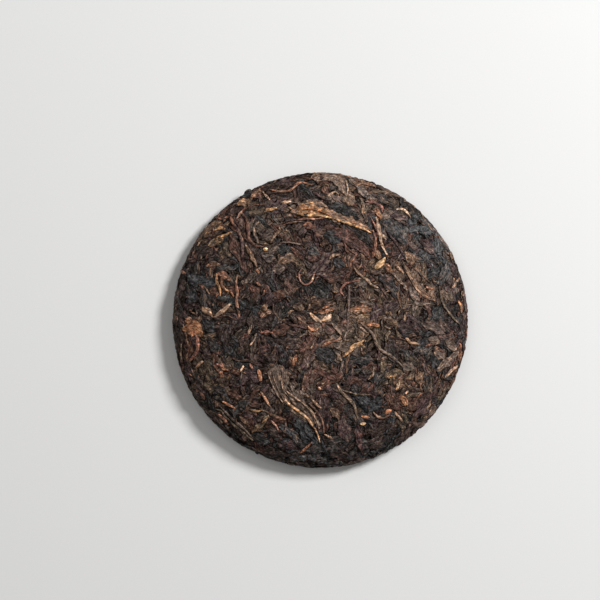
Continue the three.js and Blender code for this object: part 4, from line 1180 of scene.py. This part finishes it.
def leaf_relief(material, spot):
    """The creases and the grit of a leaf, which run along its own grain, bent a little, and a crumple."""
    grain = add_node(material, "ShaderNodeAttribute", {"attribute_name": "grain"}).outputs["Vector"]
    bend = add_node(material, "ShaderNodeTexNoise", Vector=spot, Scale=GRAIN_BEND_SCALE, Detail=2.0)
    turned = [bend.outputs["Color"], GRAIN_BEND, grain]
    bent = combined(material, "MULTIPLY_ADD", *turned, kind="ShaderNodeVectorMath")
    streak_place = add_node(material, "ShaderNodeMapping", Vector=bent, Scale=STREAK_SCALE).outputs["Vector"]
    streaks = creases(material, streak_place, 1.0)
    crumple = creases(material, spot, CRUMPLE_SCALE)
    grit_place = add_node(material, "ShaderNodeMapping", Vector=bent, Scale=GRIT_SCALE).outputs["Vector"]
    grit = add_node(material, "ShaderNodeTexNoise", Vector=grit_place, Scale=1.0, Detail=2.0).outputs["Fac"]
    return combined(material, "MULTIPLY_ADD", crumple, CRUMPLE_SHARE, streaks), grit

# %% [markdown]
# The tint comes from the mesh. It gets painted shade in the valleys of the creases and is painted lighter on
# their ridges, it is darkened between the grit, and it is turned cooler or warmer in blotches.

# %% The tone of a leaf
CREASE_TOP = 0.42
# the painted crease shade: its level in the valleys, and how much lighter the ridges are painted
CREASE_SHADE_LEVEL = 0.75
CREASE_SHADE_SPAN = 1.65
GRIT_RANGE = (0.36, 0.64)
GRIT_MIDDLE = 1.08
GRIT_TONE = 0.85
BLOTCH_TONES = [(0.38, (0.83, 0.85, 0.87, 1)), (0.64, (1.18, 1.08, 1.01, 1))]  # cooler, then warmer


def leaf_tone(material, relief, grit, blotch, contrast):
    """The leaf's tint, with painted shade in crease valleys and painted light on ridges, dark between the
    grit, and cooler or warmer in blotches.
    """
    tint = add_node(material, "ShaderNodeAttribute", {"attribute_name": "tint"}).outputs["Vector"]
    valley = CREASE_SHADE_LEVEL * (1 - contrast)
    ridge = CREASE_SHADE_LEVEL + CREASE_SHADE_SPAN * contrast
    grit_tone = GRIT_TONE * contrast
    # painted shade in the crease valleys and painted light on their ridges
    crease_shade = mapped(material, relief, 0.0, CREASE_TOP, valley, ridge)
    grit_shade = mapped(material, grit, *GRIT_RANGE, GRIT_MIDDLE - grit_tone, GRIT_MIDDLE + grit_tone)
    shade = combined(material, "MULTIPLY", crease_shade, grit_shade)
    shaded = add_node(material, "ShaderNodeVectorMath", {"operation": "SCALE"}, Vector=tint, Scale=shade)
    ramp = add_node(material, "ShaderNodeValToRGB", Fac=blotch)
    for stop, (position, colour) in zip(ramp.color_ramp.elements, BLOTCH_TONES):
        stop.position = position
        stop.color = colour
    blotched = [shaded.outputs["Vector"], ramp.outputs["Color"]]
    return combined(material, "MULTIPLY", *blotched, kind="ShaderNodeVectorMath")

# %% [markdown]
# A pressed leaf is matt, with a faint waxy shine where it is pale enough to show. The creases and the grit
# also make a bump, for relief too fine for the mesh.

# %% The finish of each kind
BLOTCH_SCALE = 480.0
GLOSS_RANGE = (0.3, 0.7)
GLOSS_BELOW = 0.12
GLOSS_ABOVE = 0.16
PALE_ENOUGH = 0.035  # the lightness from which a leaf has all its shine
GRIT_HEIGHT = 0.3


def leaf_finish(name, rough, shine, bump, contrast):
    """A leaf material, rougher in its blotches, shinier where it is pale, and with a bump in millimetres."""
    material = bpy.data.materials.new(name)
    material.use_nodes = True
    shader = material.node_tree.nodes["Principled BSDF"]
    spot = add_node(material, "ShaderNodeTexCoord").outputs["Object"]
    noise = {"Scale": BLOTCH_SCALE, "Detail": 5.0, "Roughness": 0.7}
    blotch = add_node(material, "ShaderNodeTexNoise", Vector=spot, **noise).outputs["Fac"]
    relief, grit = leaf_relief(material, spot)
    tone = leaf_tone(material, relief, grit, blotch, contrast)
    gloss = mapped(material, blotch, *GLOSS_RANGE, rough - GLOSS_BELOW, rough + GLOSS_ABOVE)
    lightness = add_node(material, "ShaderNodeRGBToBW", Color=tone).outputs["Val"]
    sheen = mapped(material, lightness, 0.0, PALE_ENOUGH, 0.0, shine)
    height = combined(material, "MULTIPLY_ADD", grit, GRIT_HEIGHT, relief)
    raised = add_node(material, "ShaderNodeBump", Height=height, Strength=1.0, Distance=bump * MM)
    set_input(material, shader.inputs["Base Color"], tone)
    set_input(material, shader.inputs["Roughness"], gloss)
    set_input(material, shader.inputs["Specular IOR Level"], sheen)
    set_input(material, shader.inputs["Normal"], raised.outputs["Normal"])
    return material


# Each kind's roughness, shine, depth of the bump in millimetres, and contrast of the painted crease shade and
# the grit.
FINISHES = {
    "broad_dark_leaves": (0.54, 0.26, 0.7, 0.72),
    "broad_brown_leaves": (0.62, 0.18, 0.7, 0.75),
    "brown_leaves": (0.62, 0.18, 0.7, 0.8),
    "dark_leaves": (0.54, 0.26, 0.7, 0.8),
    "thin_stems": (0.60, 0.15, 0.5, 0.7),
    "leaf_flakes": (0.66, 0.12, 0.8, 0.9),
    "landmark_leaves": (0.62, 0.2, 0.7, 0.7),
    "landmark_stems": (0.58, 0.2, 0.4, 0.75),
    "buds": (0.60, 0.2, 0.3, 0.45),
    "pressed_mass": (0.85, 0.05, 1.2, 1.0),
}
for piece in [mass, *leaf_pieces.values()]:
    piece.data.materials.append(leaf_finish(piece.name, *FINISHES[piece.name]))
    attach(piece, "root")
    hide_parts("tea_cake")
print("finished:", ", ".join(FINISHES))

# %% [markdown]
# The cake lies on its back on a plain pale floor. A large soft light stands at the upper right, a weaker
# one at the upper left and pale surroundings fill the shadows.

# %% Floor and light
FLOOR_REACH = 3.0
FLOOR_COLOUR = (0.575, 0.575, 0.57, 1)
FLOOR_ROUGHNESS = 0.9
SKY_COLOUR = (1, 0.985, 0.97, 1)
SKY_STRENGTH = 0.33


def plain_floor():
    """A square at the level that the cake lies on, much wider than the cake."""
    mesh = bpy.data.meshes.new("floor")
    corners = [(FLOOR_REACH * x, FLOOR_REACH * y, 0) for x, y in ((-1, -1), (1, -1), (1, 1), (-1, 1))]
    mesh.from_pydata(corners, [], [(0, 1, 2, 3)])
    floor = bpy.data.objects.new("floor", mesh)
    bpy.context.scene.collection.objects.link(floor)
    material = bpy.data.materials.new("pale_floor")
    material.use_nodes = True
    shader = material.node_tree.nodes["Principled BSDF"]
    shader.inputs["Base Color"].default_value = FLOOR_COLOUR
    shader.inputs["Roughness"].default_value = FLOOR_ROUGHNESS
    mesh.materials.append(material)


def area_light(name, stand, aim, size, power):
    """A round soft light at one place that shines towards another, in metres and watts."""
    data = bpy.data.lights.new(name, "AREA")
    data.shape = "DISK"
    data.size = size
    data.energy = power
    light = bpy.data.objects.new(name, data)
    light.location = stand
    light.rotation_euler = Vector(np.subtract(aim, stand)).to_track_quat("-Z", "Y").to_euler()
    bpy.context.scene.collection.objects.link(light)


plain_floor()
area_light("key", stand=(1.38, 1.02, 1.32), aim=(0, 0, 0.01), size=0.6, power=71.0)
area_light("fill", stand=(-1.1, 1.1, 1.9), aim=(0, 0, 0), size=1.8, power=10.0)
world = bpy.data.worlds.new("studio")
bpy.context.scene.world = world
world.use_nodes = True
sky = world.node_tree.nodes["Background"]
sky.inputs["Color"].default_value = SKY_COLOUR
sky.inputs["Strength"].default_value = SKY_STRENGTH
bpy.context.scene.view_settings.view_transform = "Standard"
print("floor, two lights and a pale sky")

# %% [markdown]
# The camera looks straight down on the face. The cake's middle and radius in the photograph, in pixels, say
# where it stands and how high. The scale is true at one level, between the floor and the top of the dome.

# %% The camera
PHOTO_SIZE = 600
CAKE_IN_PHOTO = (320.2, 320.3)
CAKE_RADIUS_IN_PHOTO = 148.0
LENS = 85
SENSOR = 36
TRUE_LEVEL = 0.4
mm_per_pixel = OUTLINE_RADIUS / CAKE_RADIUS_IN_PHOTO
width = PHOTO_SIZE * mm_per_pixel * MM
camera_data = bpy.data.cameras.new("camera")
camera_data.lens = LENS
camera_data.sensor_width = SENSOR
camera = bpy.data.objects.new("camera", camera_data)
camera.location = (
    (PHOTO_SIZE / 2 - CAKE_IN_PHOTO[0]) * mm_per_pixel * MM,
    (CAKE_IN_PHOTO[1] - PHOTO_SIZE / 2) * mm_per_pixel * MM,
    width * LENS / SENSOR + TRUE_LEVEL * TOP * MM,
)
bpy.context.scene.collection.objects.link(camera)
bpy.context.scene.camera = camera
print(f"camera: {camera.location.z:.3f} m up, {mm_per_pixel:.3f} mm for each pixel")
